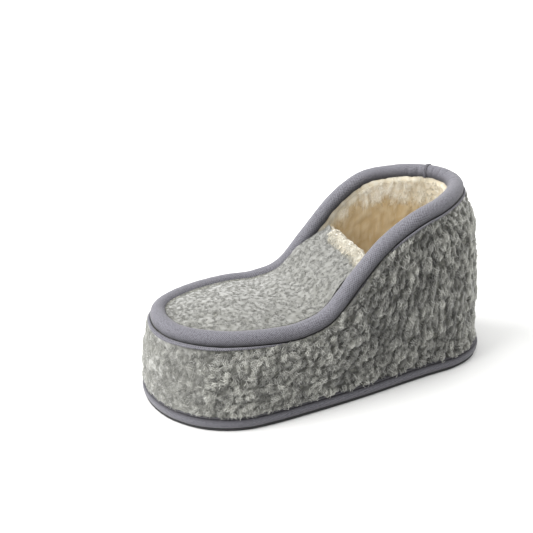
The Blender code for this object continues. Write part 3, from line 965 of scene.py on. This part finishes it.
def grow_pile(name, ground, tree, pile, material):
    """Run the pile tree on a ground mesh and keep the result as a plain piece."""
    ground.materials.append(material)
    carrier = bpy.data.objects.new(name + "_ground", ground)
    bpy.context.scene.collection.objects.link(carrier)
    modifier = carrier.modifiers.new("pile", "NODES")
    modifier.node_group = tree
    values = dict(zip([input_name for input_name, _ in PILE_INPUTS[1:]], (material, *PILES[pile])))
    for item in tree.interface.items_tree:
        if item.name in values:
            modifier[item.identifier] = values[item.name]
    bpy.context.view_layer.update()
    evaluated = carrier.evaluated_get(bpy.context.evaluated_depsgraph_get())
    mesh = bpy.data.meshes.new_from_object(evaluated)
    mesh.name = name
    bpy.data.objects.remove(carrier, do_unlink=True)
    return piece(name, mesh, material)


wall_tree = pile_tree(lock_kinds("heel_lock"), lock_kinds("toe_lock"))
print("nodes in a pile tree:", len(wall_tree.nodes))

# %% [markdown]
# ## Where the binding's lip shows
# Beyond its stitches the binding ends in a narrow lip. It is widest round the toe, the fleece hides it
# along the instep, and at the collar it is a thin wavy line. The fleece has to leave room for it.

# %% The lip's table
LIP_COLUMNS = ("turn", "half_width", "shown")
LIP_TABLE = (
    (0.000, 0.85, 1.0),
    (0.177, 0.80, 1.0),
    (0.200, 0.40, 0.0),
    (0.300, 0.40, 0.0),
    (0.330, 0.60, 1.0),
    (0.387, 1.50, 1.0),
    (0.470, 1.80, 1.0),
    (0.510, 1.20, 1.0),
    (0.560, 0.70, 1.0),
    (0.670, 0.60, 1.0),
    (0.700, 0.40, 0.0),
    (0.800, 0.40, 0.0),
    (0.823, 0.80, 1.0),
    (1.000, 0.85, 1.0),
)


def lip_value(column, turns):
    """One column of the lip's table at each share of the way round: heel, lateral side, toe, medial side."""
    rows = np.array(LIP_TABLE)
    return np.interp(turns, rows[:, 0], rows[:, LIP_COLUMNS.index(column)])


print("rows of the lip:", len(LIP_TABLE))

# %% [markdown]
# ## Fleece on the wall
# At the heel the pile hangs in upright tufts, taller than wide, which run together to ribs under the
# collar; towards the toe it swirls every way, and at the tip it is matted and even. Slow clumps raise the
# ground, with painted light where they rise and painted shade where they sink and in the creases; the
# heel is painted lighter towards its back, a painted highlight of light from behind, and a skirt spreads
# over the sole's binding. The wall is grown in four fields, because a mesh of under 200,000 triangles
# stays easy to handle. Neighbours overlap by one column.

# %% Wall fields
WALL_GROUND_DEPTH = 2.2
CREASE_PAINTED_SHADE = 0.6
HEEL_LOCKS = 0.85
CLUMP_MM = 8.0
GROUP_MM = 18.0
GROUP_SHARE = 0.6
CLUMP_RISE = 1.2
CLUMP_PAINTED_SHADING = 1.5
CLUMP_EDGE = (1.0, 8.0)
SKIRT = 1.2
SKIRT_HEIGHT = 8.0
# Stations where a part of the wall begins and where it is full
TO_TOE = (0.30, 0.75)
AT_BACK = (0.16, 0.03)
AT_TIP = (0.85, 1.0)
MATTED = (0.86, 0.97)
PALER = (0.38, 0.80)
HEEL_SIDE = (0.36, 0.20)
RIBS_FRONT = (0.40, 0.30)
RIBS_BACK = (0.10, 0.22)
RIBS_HEIGHT = (35.0, 65.0)
BARE_EDGE = (0.6, 2.0)
WALL_COLUMNS = 720
WALL_ROWS = 84
WALL_FIELDS = (
    ("fleece_heel_lateral", 0.0, 0.25),
    ("fleece_toe_lateral", 0.25, 0.5),
    ("fleece_toe_medial", 0.5, 0.75),
    ("fleece_heel_medial", 0.75, 1.0),
)
wall_grid = sunk_wall(WALL_COLUMNS, WALL_ROWS, WALL_GROUND_DEPTH)
wall_stations = stations_of(WALL_COLUMNS)
wall_clumps = wobble(wall_grid, CLUMP_MM, seed=12.0) + GROUP_SHARE * wobble(wall_grid, GROUP_MM, seed=14.0)
above_sole = wall_grid[:, :, 2] - wall_grid[0, :, 2]
from_edges = np.minimum(np.linalg.norm(wall_grid - wall_grid[-1], axis=2), above_sole)
wall_rise = CLUMP_RISE * wall_clumps * smooth_step(*CLUMP_EDGE, from_edges)
wall_rise += SKIRT * smooth_step(SKIRT_HEIGHT, 0.0, above_sole)
wall_grid = wall_grid + grid_normals(wall_grid, True) * wall_rise[:, :, None]
# Painted shade in the creases and where the clumps sink, and painted light where they rise
wall_painted_shading = CREASE_PAINTED_SHADE * wall_creases(outer_wall(WALL_COLUMNS, WALL_ROWS)) - CLUMP_PAINTED_SHADING * wall_clumps
for name, start, end in WALL_FIELDS:
    picked = np.arange(round(start * WALL_COLUMNS) - 1, round(end * WALL_COLUMNS) + 2) % WALL_COLUMNS
    field = wall_grid[:-2, picked]
    ground = cloth_mesh(name, field, row_faces(len(field), len(picked), False, True))
    stations = np.broadcast_to(wall_stations[picked], field.shape[:2])
    to_toe, at_back, at_tip, matted, paler, at_heel = [
        smooth_step(*part, stations) for part in (TO_TOE, AT_BACK, AT_TIP, MATTED, PALER, HEEL_SIDE)]
    ribbed = smooth_step(*RIBS_FRONT, stations) * smooth_step(*RIBS_BACK, stations)
    ribbed = ribbed * smooth_step(*RIBS_HEIGHT, field[:, :, 2])
    dark = wall_painted_shading[:-2, picked] * (1 - 0.7 * matted)
    from_top = np.linalg.norm(field - wall_grid[-1, picked], axis=2)
    turns = picked / WALL_COLUMNS
    clear = 2 * lip_value("half_width", turns) * lip_value("shown", turns)
    # pale: lighter towards the toe; painted light on the heel's side and back, where light from behind falls;
    # the clumps' and creases' painted light and shade; darker at the matted tip. even takes the painted shade
    # of roots and gaps away at the tip.
    store(ground,
          stretch=1.5 - 0.5 * to_toe + 0.6 * ribbed,
          swirl=5.0 + 4.0 * to_toe - 2.0 * ribbed,
          curly=to_toe,
          even=0.8 * matted,
          loft=1.0 - 0.6 * to_toe - 0.4 * at_back - 0.2 * at_tip,
          pale=paler + 1.4 * at_back + 0.35 * at_heel - dark - 1.3 * matted,
          density=smooth_step(*BARE_EDGE, from_top - clear) * (HEEL_LOCKS + (1 - HEEL_LOCKS) * to_toe))
    grow_pile(name, ground, wall_tree, "wall", wall_wool)

# %% [markdown]
# ## Nap on the vamp
# Over the foot the fleece is shorn short and brushed flat, so it is paler and finer than the walls. At
# the throat it puffs up over the rail, and its edge is turned under, so that no thin corner shows from
# behind. A bump on a smooth dome would be lighter, but it would leave a bald outline, so the same tree
# grows short flat locks here.

# %% Vamp nap
VAMP_COLUMNS = 440
VAMP_POINTS = 71
NAP_LIFT = 0.4
NAP_SWIRL = 12.0
NAP_EDGE = (1.0, 8.0)
NAP_RAGGED = 2.0
NAP_RAGGED_MM = 5.0
AHEAD_RUNG = 6
PUFF = 3.0
PUFF_END = 0.62
PUFF_BACK = 3.0
PUFF_REACH = 12.0
PUFF_OVER = 5.0
PUFF_DROP = 2.5
PUFF_PALE = -0.7
# Shares of the way across the foot, from the lateral rail to the medial one
OVER_RAIL = (0.72, 0.97)
AT_RAIL = (0.96, 1.0)
NEAR_RAIL = (0.80, 0.92)
CORNER = (0.74, 0.85)
EDGE_TURN = ((2.0, -5.0), (-0.4, -3.5), (-0.8, -1.5))
nap_tree = pile_tree(lock_kinds("nap_lock"))
vamp_edge = groove(VAMP_COLUMNS, GROOVE_ROWS)[-1]
vamp_top, vamp_throat = vamp_rungs(VAMP_COLUMNS, VAMP_POINTS, vamp_edge)
vamp_top[:, :, 2] -= VAMP_NAP_DEPTH - NAP_LIFT
rung_stations = stations_of(VAMP_COLUMNS)[vamp_throat:VAMP_COLUMNS // 2]
puffed = smooth_step(PUFF_END, THROAT_STATION, rung_stations)[:, None]
across_foot = np.linspace(0, 1, VAMP_POINTS)[None, :]
vamp_top[:, :, 2] += PUFF * puffed - PUFF_DROP * puffed * smooth_step(*AT_RAIL, across_foot)
vamp_top[:, :, 1] -= PUFF_OVER * smooth_step(*OVER_RAIL, across_foot) * puffed
behind = smooth_step(PUFF_REACH, 0.0, vamp_top[:, :, 0] - vamp_top[0, :, 0])
vamp_top[:, :, 0] -= PUFF_BACK * behind * smooth_step(*NEAR_RAIL, across_foot)
ahead = unit(vamp_top[AHEAD_RUNG] - vamp_top[0])
turned_under = np.array([vamp_top[0] + ahead * forward + [0, 0, height] for forward, height in EDGE_TURN])
vamp_grid = np.concatenate([turned_under, vamp_top])
vamp_ground = cloth_mesh("vamp_nap", vamp_grid, row_faces(len(vamp_grid), VAMP_POINTS, False, False))
from_throat = np.linalg.norm(vamp_top - vamp_top[0], axis=2)
from_throat = from_throat + NAP_RAGGED * wobble(vamp_top, NAP_RAGGED_MM, seed=8.0)
corner = smooth_step(*CORNER, across_foot)
nap_share = np.maximum(smooth_step(*NAP_EDGE, from_throat), corner)
bare_edge = np.zeros(turned_under.shape[:2])
bare_edge[-1] = corner
pale_edge = np.full(turned_under.shape[:2], PUFF_PALE)
pale_top = np.broadcast_to(PUFF_PALE * puffed, vamp_top.shape[:2])
store(vamp_ground, stretch=1.0, loft=1.0, swirl=NAP_SWIRL,
      density=np.concatenate([bare_edge, nap_share]), pale=np.concatenate([pale_edge, pale_top]))
grow_pile("vamp_nap", vamp_ground, nap_tree, "vamp", vamp_wool)

# %% [markdown]
# ## Lining
# The lining is a cream fleece that covers the inside from the insole to the rim and runs under the vamp.
# Its pile is long at the rim and trodden flat below, where only its ground is left: locks grow in the
# part that the light reaches, and deeper down the colour alone tells the wear and the painted shade.

# %% Lining pile
LINING_COLUMNS = 352
LINING_ROWS = 50
LINING_DEPTH = 1.2
LINING_STRETCH = 1.8
SWELL_REACH = 24.0
SWELL_OUT = 0.3
SWELL_RISE = 1.4
SWELL_ANGLE = math.radians(194)
TUCK_DEPTH = 0.4
CREAM_DEPTH = 8.0
CREAM_DEPTH_GAIN = 75.0
CREAM_STATION = 0.30
CREAM_SHARE = 0.85
CREAM_FADE = (12, -9)
HIDDEN = (0.45, 0.60)
TRODDEN = (0.40, 0.05)
BARE_RIM = (1.5, 3.5)
# Painted shade of the rim: at the heel's side, what the front adds, at the back, and close to the binding
SIDE_SHADE = 0.20
FRONT_SHADE = 0.15
FRONT_SIDE = (0.20, 0.30)
BACK_SHADE = 0.36
EDGE_SHADE = 0.5
RIM_BAND = (9, 3)
EDGE_BAND = (4.0, 0.8)
lining_tree = pile_tree(lock_kinds("lining_lock"))
inside = inner_wall(LINING_COLUMNS, LINING_ROWS)
inside_normals = -grid_normals(inside, True)
collar = (1 - vamp_share(LINING_COLUMNS))[None, :, None]
to_rim = np.linalg.norm(inside - inside[-1], axis=2)
swell = smooth_step(SWELL_REACH, 0.0, to_rim)[:, :, None] * collar
inside = inside + inside_normals * (LINING_DEPTH + SWELL_OUT * swell) + np.array([0, 0, SWELL_RISE]) * swell
tuck = around_line(LINING_COLUMNS, BINDING_RADIUS - TUCK_DEPTH, SWELL_ANGLE)
tuck = tuck * collar[0] + (inside[-1] - inside_normals[-1]) * (1 - collar[0])
inside = np.concatenate([inside, tuck[None]])
inside_stations = np.broadcast_to(stations_of(LINING_COLUMNS), inside.shape[:2])
lining_ground = cloth_mesh("lining_pile", inside, row_faces(len(inside), LINING_COLUMNS, True, False))
shown = 1 - smooth_step(*HIDDEN, inside_stations)
below_rim = inside[-1, :, 2] - inside[:, :, 2]
# cream: cream at the rim, tan deeper down, partly wear and partly painted shade of the deep inside
border = CREAM_DEPTH + CREAM_DEPTH_GAIN * np.clip(CREAM_STATION - inside_stations, 0, None)
cream = smooth_step(border + CREAM_FADE[0], border + CREAM_FADE[1], below_rim)
upright_pile = 1 - smooth_step(*TRODDEN, cream)
at_side = SIDE_SHADE + FRONT_SHADE * smooth_step(*FRONT_SIDE, inside_stations)
at_back = BACK_SHADE * smooth_step(*AT_BACK, inside_stations)
at_rim = np.maximum(at_side * smooth_step(*RIM_BAND, below_rim), at_back)
store(lining_ground, stretch=LINING_STRETCH, loft=1.0, swirl=1.0, cream=CREAM_SHARE * cream * shown,
      density=shown * upright_pile * smooth_step(*BARE_RIM, below_rim),
      rim=(at_rim + EDGE_SHADE * smooth_step(*EDGE_BAND, below_rim)) * shown)
grow_pile("lining_pile", lining_ground, lining_tree, "lining", lining_wool)

# %% [markdown]
# ### The throat's edge
# At the throat the lining comes out from under the vamp, turns over its edge and is sewn down on top.
# The ground follows the edge with a soft section, and the cream locks thin out towards the grey nap.

# %% Throat fringe
FRINGE_SECTION = (
    (9.0, -0.9), (7.0, -0.4), (5.2, 0.1), (3.2, 0.4), (1.2, 0.3), (-0.8, -0.4), (-2.2, -1.6), (-2.8, -3.6),
    (-2.2, -5.4), (-1.0, -7.2), (1.0, -8.6), (3.0, -9.4),
)
FRINGE_LOCKS = (8.5, 4.0)
FRINGE_CREAM = (9.5, 3.0)
FRINGE_RAGGED = 3.5
FRINGE_RAGGED_MM = 6.0
BACK_RAGGED = 0.8
FRINGE_SINK = 2.5
FRINGE_TUFTY = 0.4
FRINGE_TUFT_MM = 4.0
FRINGE_SWIRL = 8.0
fringe_tree = pile_tree(lock_kinds("fringe_lock"))

edge_points = vamp_top[0]
over_edge = unit(np.cross(np.gradient(edge_points, axis=0), ahead))
over_edge *= np.sign(over_edge[:, 2:3])
ragged = FRINGE_RAGGED * wobble(edge_points, FRINGE_RAGGED_MM, seed=8.0)[:, None]
shown_part = smooth_step(*CORNER[::-1], across_foot)
tufty = 1 + FRINGE_TUFTY * wobble(edge_points, FRINGE_TUFT_MM, seed=5.0)[:, None]
fringe = np.array([edge_points + ahead * (forward + ragged * (BACK_RAGGED if forward < 0 else 1.0))
                   + over_edge * (height * tufty if height > 0 else height)
                   for forward, height in FRINGE_SECTION])
fringe[:, :, 2] -= FRINGE_SINK * (1 - shown_part)
fringe_ground = cloth_mesh("throat_fringe", fringe, row_faces(len(fringe), VAMP_POINTS, False, True))
forward_of = np.broadcast_to(np.array([forward for forward, _ in FRINGE_SECTION])[:, None], fringe.shape[:2])
store(fringe_ground, stretch=1.0, loft=1.0, swirl=FRINGE_SWIRL,
      density=smooth_step(*FRINGE_LOCKS, forward_of) * shown_part,
      cream=smooth_step(*FRINGE_CREAM, forward_of))
grow_pile("throat_fringe", fringe_ground, fringe_tree, "fringe", fringe_wool)

# %% [markdown]
# ## Rolled bindings
# Each binding is a cord with a bias strip folded round it, sewn down in a ditch; the strip's raw edge is
# turned to a narrow lip beyond the stitches. A curve with a round bevel would be quicker, but it has no
# place for the ditch, the puckers and the creases. So the roll is lofted along the top line, slightly
# uneven as sewn cloth is, and the lip is a second, flat loft beside it.

# %% Top roll
ROLL_COLUMNS = 720
ROLL_SIDES = 36
PUCKER = 0.16
PUCKER_MM = 5.0
UNDER_REACH = math.radians(38)
INNER_DITCH = math.radians(200)
INNER_REACH = math.radians(42)
CREASE_GAIN = 1.6
# Share of the way round, angle about the cord, half width, half turn, depth
ROLL_CREASES = (
    (0.012, 62, 1.0, 24, 0.45),
    (0.030, 100, 1.2, 30, 0.30),
    (0.990, 105, 1.2, 34, 0.35),
    (0.972, 128, 1.3, 30, 0.35),
    (0.955, 140, 1.2, 30, 0.40),
    (0.922, 150, 1.4, 30, 0.40),
    (0.905, 155, 1.4, 30, 0.35),
    (0.238, 150, 1.4, 34, 0.35),
    (0.252, 160, 1.3, 34, 0.30),
    (0.266, 155, 1.4, 34, 0.35),
    (0.748, 150, 1.4, 34, 0.35),
    (0.762, 155, 1.4, 34, 0.30),
    (0.430, 150, 1.3, 30, 0.30),
    (0.455, 155, 1.3, 30, 0.30),
    (0.560, 155, 1.3, 30, 0.30),
)
DITCH_ANGLE = math.radians(-33)
DITCH_WIDTH = math.radians(9)
DITCH_DEPTH = 0.8


def strip_uv(mesh, rows, columns, along_mm, across_mm):
    """UV map in millimetres: along the strip and around its section, so the weave keeps its scale."""
    layer = mesh.uv_layers.new(name="strip")
    for polygon in mesh.polygons:
        corners = [(mesh.loops[i].vertex_index // columns, mesh.loops[i].vertex_index % columns)
                   for i in polygon.loop_indices]
        last_row = max(r for r, _ in corners) == rows - 1
        last_column = max(c for _, c in corners) == columns - 1
        for loop, (r, c) in zip(polygon.loop_indices, corners):
            r = rows if last_row and r == 0 else r
            c = columns if last_column and c == 0 else c
            layer.data[loop].uv = (c * along_mm, r * across_mm)


def closed_loft(name, rings):
    """Mesh of rings that follow one another around a closed section, each once around the slipper."""
    grid = np.array(rings)
    rows, columns = grid.shape[:2]
    faces = row_faces(rows, columns, True, False)
    base = (rows - 1) * columns
    faces += [(base + i, base + (i + 1) % columns, (i + 1) % columns, i) for i in range(columns)]
    mesh = cloth_mesh(name, grid, faces)
    along = np.linalg.norm(np.diff(grid[0], axis=0), axis=1).mean()
    across = np.linalg.norm(np.diff(grid[:, 0], axis=0), axis=1).mean()
    strip_uv(mesh, rows, columns, along, across)
    return mesh


rings = []
under_values = []
roll_line = top_line(ROLL_COLUMNS)[0]
ROLL_LENGTH = float(np.linalg.norm(roll_line - np.roll(roll_line, 1, axis=0), axis=1).sum())
for k in range(ROLL_SIDES):
    turn = -2 * math.pi * k / ROLL_SIDES
    away = math.remainder(turn - DITCH_ANGLE, 2 * math.pi) / DITCH_WIDTH
    ring = around_line(ROLL_COLUMNS, BINDING_RADIUS, turn)
    puckered = PUCKER * wobble(ring, PUCKER_MM, seed=1.0)
    radius = BINDING_RADIUS + puckered - DITCH_DEPTH * math.exp(-away * away)
    for share, degrees, half_wide, half_turn, deep in ROLL_CREASES:
        aside = np.abs(np.arange(ROLL_COLUMNS) / ROLL_COLUMNS - share)
        aside = np.minimum(aside, 1 - aside) * ROLL_LENGTH / half_wide
        off = math.remainder(turn - math.radians(degrees), 2 * math.pi) / math.radians(half_turn)
        radius = radius - CREASE_GAIN * deep * np.exp(-aside ** 2 - off * off)
    rings.append(around_line(ROLL_COLUMNS, radius[:, None], turn))
    # Painted shade by the outer ditch and on the roll's inner side, towards the lining
    inner = math.remainder(turn - INNER_DITCH, 2 * math.pi) / INNER_REACH
    shaded = math.exp(-(away * DITCH_WIDTH / UNDER_REACH) ** 2) + math.exp(-inner * inner)
    under_values.append(np.full(ROLL_COLUMNS, min(1.0, shaded)))
roll_mesh = closed_loft("top_roll", rings)
store(roll_mesh, under=np.array(under_values))
top_roll = piece("top_roll", roll_mesh, binding_cloth)
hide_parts("top_binding")

# %% [markdown]
# ### The join of the strip
# The strip's two ends meet at the back of the collar. They are laid over one another and sewn across the
# cord, slightly slantwise, which leaves a flat band with two raised edges. A short loft across the roll
# shows both edges; a dent alone would vanish at this size.

# %% Join of the strip
JOIN_TURN = 0.9395
JOIN_FINE = 6000
JOIN_SLANT = 2.2
JOIN_MIDDLE = math.radians(150)
JOIN_CELL = (0.5, 0.6)
JOIN_ANGLES = np.radians(np.linspace(235, -15, 42))
# Place along the cord, height over it, and how much painted shade the cloth gets there
JOIN_SECTION = (
    (-1.7, -0.5, 1.0), (-1.6, 0.4, 0.9), (-1.1, 0.75, 0.0), (-0.3, 0.4, 0.5),
    (0.6, 0.35, 0.5), (1.3, 0.75, 0.0), (1.8, 0.4, 0.9), (2.0, -0.5, 1.0),
)
fine_step = ROLL_LENGTH / JOIN_FINE
join_rows = []
for angle in JOIN_ANGLES:
    slant = JOIN_SLANT * math.cos(angle - JOIN_MIDDLE)
    row = []
    for aside, height, _ in JOIN_SECTION:
        column = round(JOIN_TURN * JOIN_FINE + (aside - slant) / fine_step)
        row.append(around_line(JOIN_FINE, BINDING_RADIUS + height, angle)[column])
    join_rows.append(row)
join_points = len(join_rows) * len(JOIN_SECTION)
join_faces = row_faces(len(join_rows), len(JOIN_SECTION), True, True)
join_faces.append(tuple(range(len(JOIN_SECTION))))
join_faces.append(tuple(reversed(range(join_points - len(JOIN_SECTION), join_points))))
join_mesh = cloth_mesh("roll_join", join_rows, join_faces)
strip_uv(join_mesh, len(join_rows), len(JOIN_SECTION), *JOIN_CELL)
store(join_mesh, under=np.tile([dark for _, _, dark in JOIN_SECTION], len(join_rows)))
piece("roll_join", join_mesh, binding_cloth)

# %% Top lip
LIP_START = 5.9
LIP_DOWN = 3.1
LIP_THICK = 0.8
LIP_SLOPE = math.radians(-18)
LIP_SIDES = 8
LIP_TUCK = 1.5
LIP_WAVER = 0.35
LIP_WAVER_MM = 9.0
line, line_normal, upward = top_line(ROLL_COLUMNS)
roll_turns = np.arange(ROLL_COLUMNS) / ROLL_COLUMNS
half_width = lip_value("half_width", roll_turns)
tucked = LIP_TUCK * (1 - lip_value("shown", roll_turns))
waver = LIP_WAVER * wobble(line, LIP_WAVER_MM, seed=7.0)
across = math.cos(LIP_SLOPE) * line_normal + math.sin(LIP_SLOPE) * upward
facing = -math.sin(LIP_SLOPE) * line_normal + math.cos(LIP_SLOPE) * upward
reach_out = (LIP_START + half_width + waver - tucked)[:, None]
centre = line + line_normal * reach_out - upward * (LIP_DOWN + tucked)[:, None]
rings = []
for k in range(LIP_SIDES):
    turn = -2 * math.pi * k / LIP_SIDES
    wide = (half_width * math.cos(turn))[:, None]
    rings.append(centre + across * wide + facing * LIP_THICK * math.sin(turn))
piece("top_lip", closed_loft("top_lip", rings), binding_cloth)

# %% Sole roll
SOLE_SECTION = (
    (10.7, 2.8), (4.0, 2.8), (1.6, 2.8), (0.75, 3.1), (0.25, 4.0), (0.0, 5.4), (0.0, 7.0), (0.2, 8.4),
    (0.7, 9.1), (1.4, 9.5), (3.4, 9.6), (3.5, 9.9), (1.5, 10.1), (0.9, 10.4), (0.8, 10.9), (1.2, 11.3),
    (2.0, 11.5), (3.2, 11.5), (7.0, 11.5), (10.7, 11.5),
)
SOLE_UNEVEN = 0.15
SOLE_UNEVEN_MM = 6.0
SOLE_DITCH = 9.9
SOLE_DITCH_REACH = 1.6
sole_edge, sole_normal = sole_loop(ROLL_COLUMNS)
rings = []
for inset, height in reversed(SOLE_SECTION):
    ring = sole_edge - sole_normal * inset + [0, 0, height]
    rings.append(ring + sole_normal * (SOLE_UNEVEN * wobble(ring, SOLE_UNEVEN_MM, seed=4.0))[:, None])
sole_mesh = closed_loft("sole_roll", rings)
# Painted shade along the sole roll's ditch
heights = np.array([height for _, height in reversed(SOLE_SECTION)])
nearness = np.exp(-((heights - SOLE_DITCH) / SOLE_DITCH_REACH) ** 2)
store(sole_mesh, under=np.repeat(nearness, ROLL_COLUMNS))
sole_roll = piece("sole_roll", sole_mesh, binding_cloth)
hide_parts("sole_binding")

# %% [markdown]
# ## Insole and outsole
# The insole is a foam pad under the same fleece, trodden flat and tan. Only a little of it shows, so a
# lofted pad with small tufts stands for the pile, where locks would cost many triangles. The outsole keeps
# its solid, because a plain sheet needs nothing but its pebble.

# %% Insole
INSOLE_EDGE = 9.7
INSOLE_RINGS = 38
INSOLE_COLUMNS = 240
INSOLE_TOP = 13.0
INSOLE_TUFT = 0.55
INSOLE_TUFT_MM = 2.6
INSOLE_WEAR = 0.35
INSOLE_WEAR_MM = 7.0
INSOLE_RIM = 1.2
INSOLE_RIM_SHARE = 0.06
INSOLE_RIM_REACH = 0.12
INSOLE_BOTTOM = 2.8
INSOLE_SIDE = (2.8, 9.0, 12.4)
SPINE_END = 40
TUFT_SEED = 3.0


def insole_mesh():
    """A closed pad: flat below, a raised soft rim and a level top with the marks of wear."""
    columns = INSOLE_COLUMNS
    edge, normal = sole_loop(columns)
    start = edge - normal * INSOLE_EDGE
    spine = np.stack([edge[:, 0], skew(edge[:, 0]), np.zeros(columns)], axis=1)
    spine[:, 0] = np.clip(spine[:, 0], SPINE_END, LENGTH - SPINE_END)
    rings = [start + [0, 0, height] for height in INSOLE_SIDE]
    for share in np.linspace(0.03, 1, INSOLE_RINGS):
        ring = start + (spine - start) * share
        from_rim = (share - INSOLE_RIM_SHARE) / INSOLE_RIM_REACH
        ring[:, 2] = INSOLE_TOP + INSOLE_RIM * math.exp(-from_rim ** 2)
        tufts = INSOLE_TUFT * wobble(ring, INSOLE_TUFT_MM, TUFT_SEED)
        ring[:, 2] += INSOLE_WEAR * wobble(ring, INSOLE_WEAR_MM, seed=6.0) + tufts
        rings.append(ring)
    bottom = [start + (spine - start) * share + [0, 0, INSOLE_BOTTOM] for share in np.linspace(1, 0.1, 6)]
    grid = np.array(bottom + rings)
    mesh = cloth_mesh("insole_fleece", grid, row_faces(len(grid), columns, True, True))
    bm = bmesh.new()
    bm.from_mesh(mesh)
    bmesh.ops.remove_doubles(bm, verts=bm.verts, dist=0.02 * MM)
    bmesh.ops.holes_fill(bm, edges=[e for e in bm.edges if e.is_boundary], sides=0)
    bmesh.ops.recalc_face_normals(bm, faces=bm.faces)
    bm.to_mesh(mesh)
    bm.free()
    mesh.shade_smooth()
    points = np.array([v.co for v in mesh.vertices]) / MM - SHIFT
    # crown follows the tufts, so the hollows between them get painted shade
    store(mesh,
          crown=0.5 + wobble(points, INSOLE_TUFT_MM, TUFT_SEED),
          strand=0.5 + 0.5 * wobble(points, 1.7, seed=9.0),
          cream=0.18 + 0.30 * wobble(points, 16.0, seed=2.0))
    return mesh


insole_pad = insole_mesh()
insole_fleece = piece("insole_fleece", insole_pad, lining_wool)
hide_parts("insole")

# %% Outsole
outsole_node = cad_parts["outsole"]
for slot in outsole_node.material_slots:
    slot.material = sole_rubber
print("outsole keeps its solid, in", sole_rubber.name)
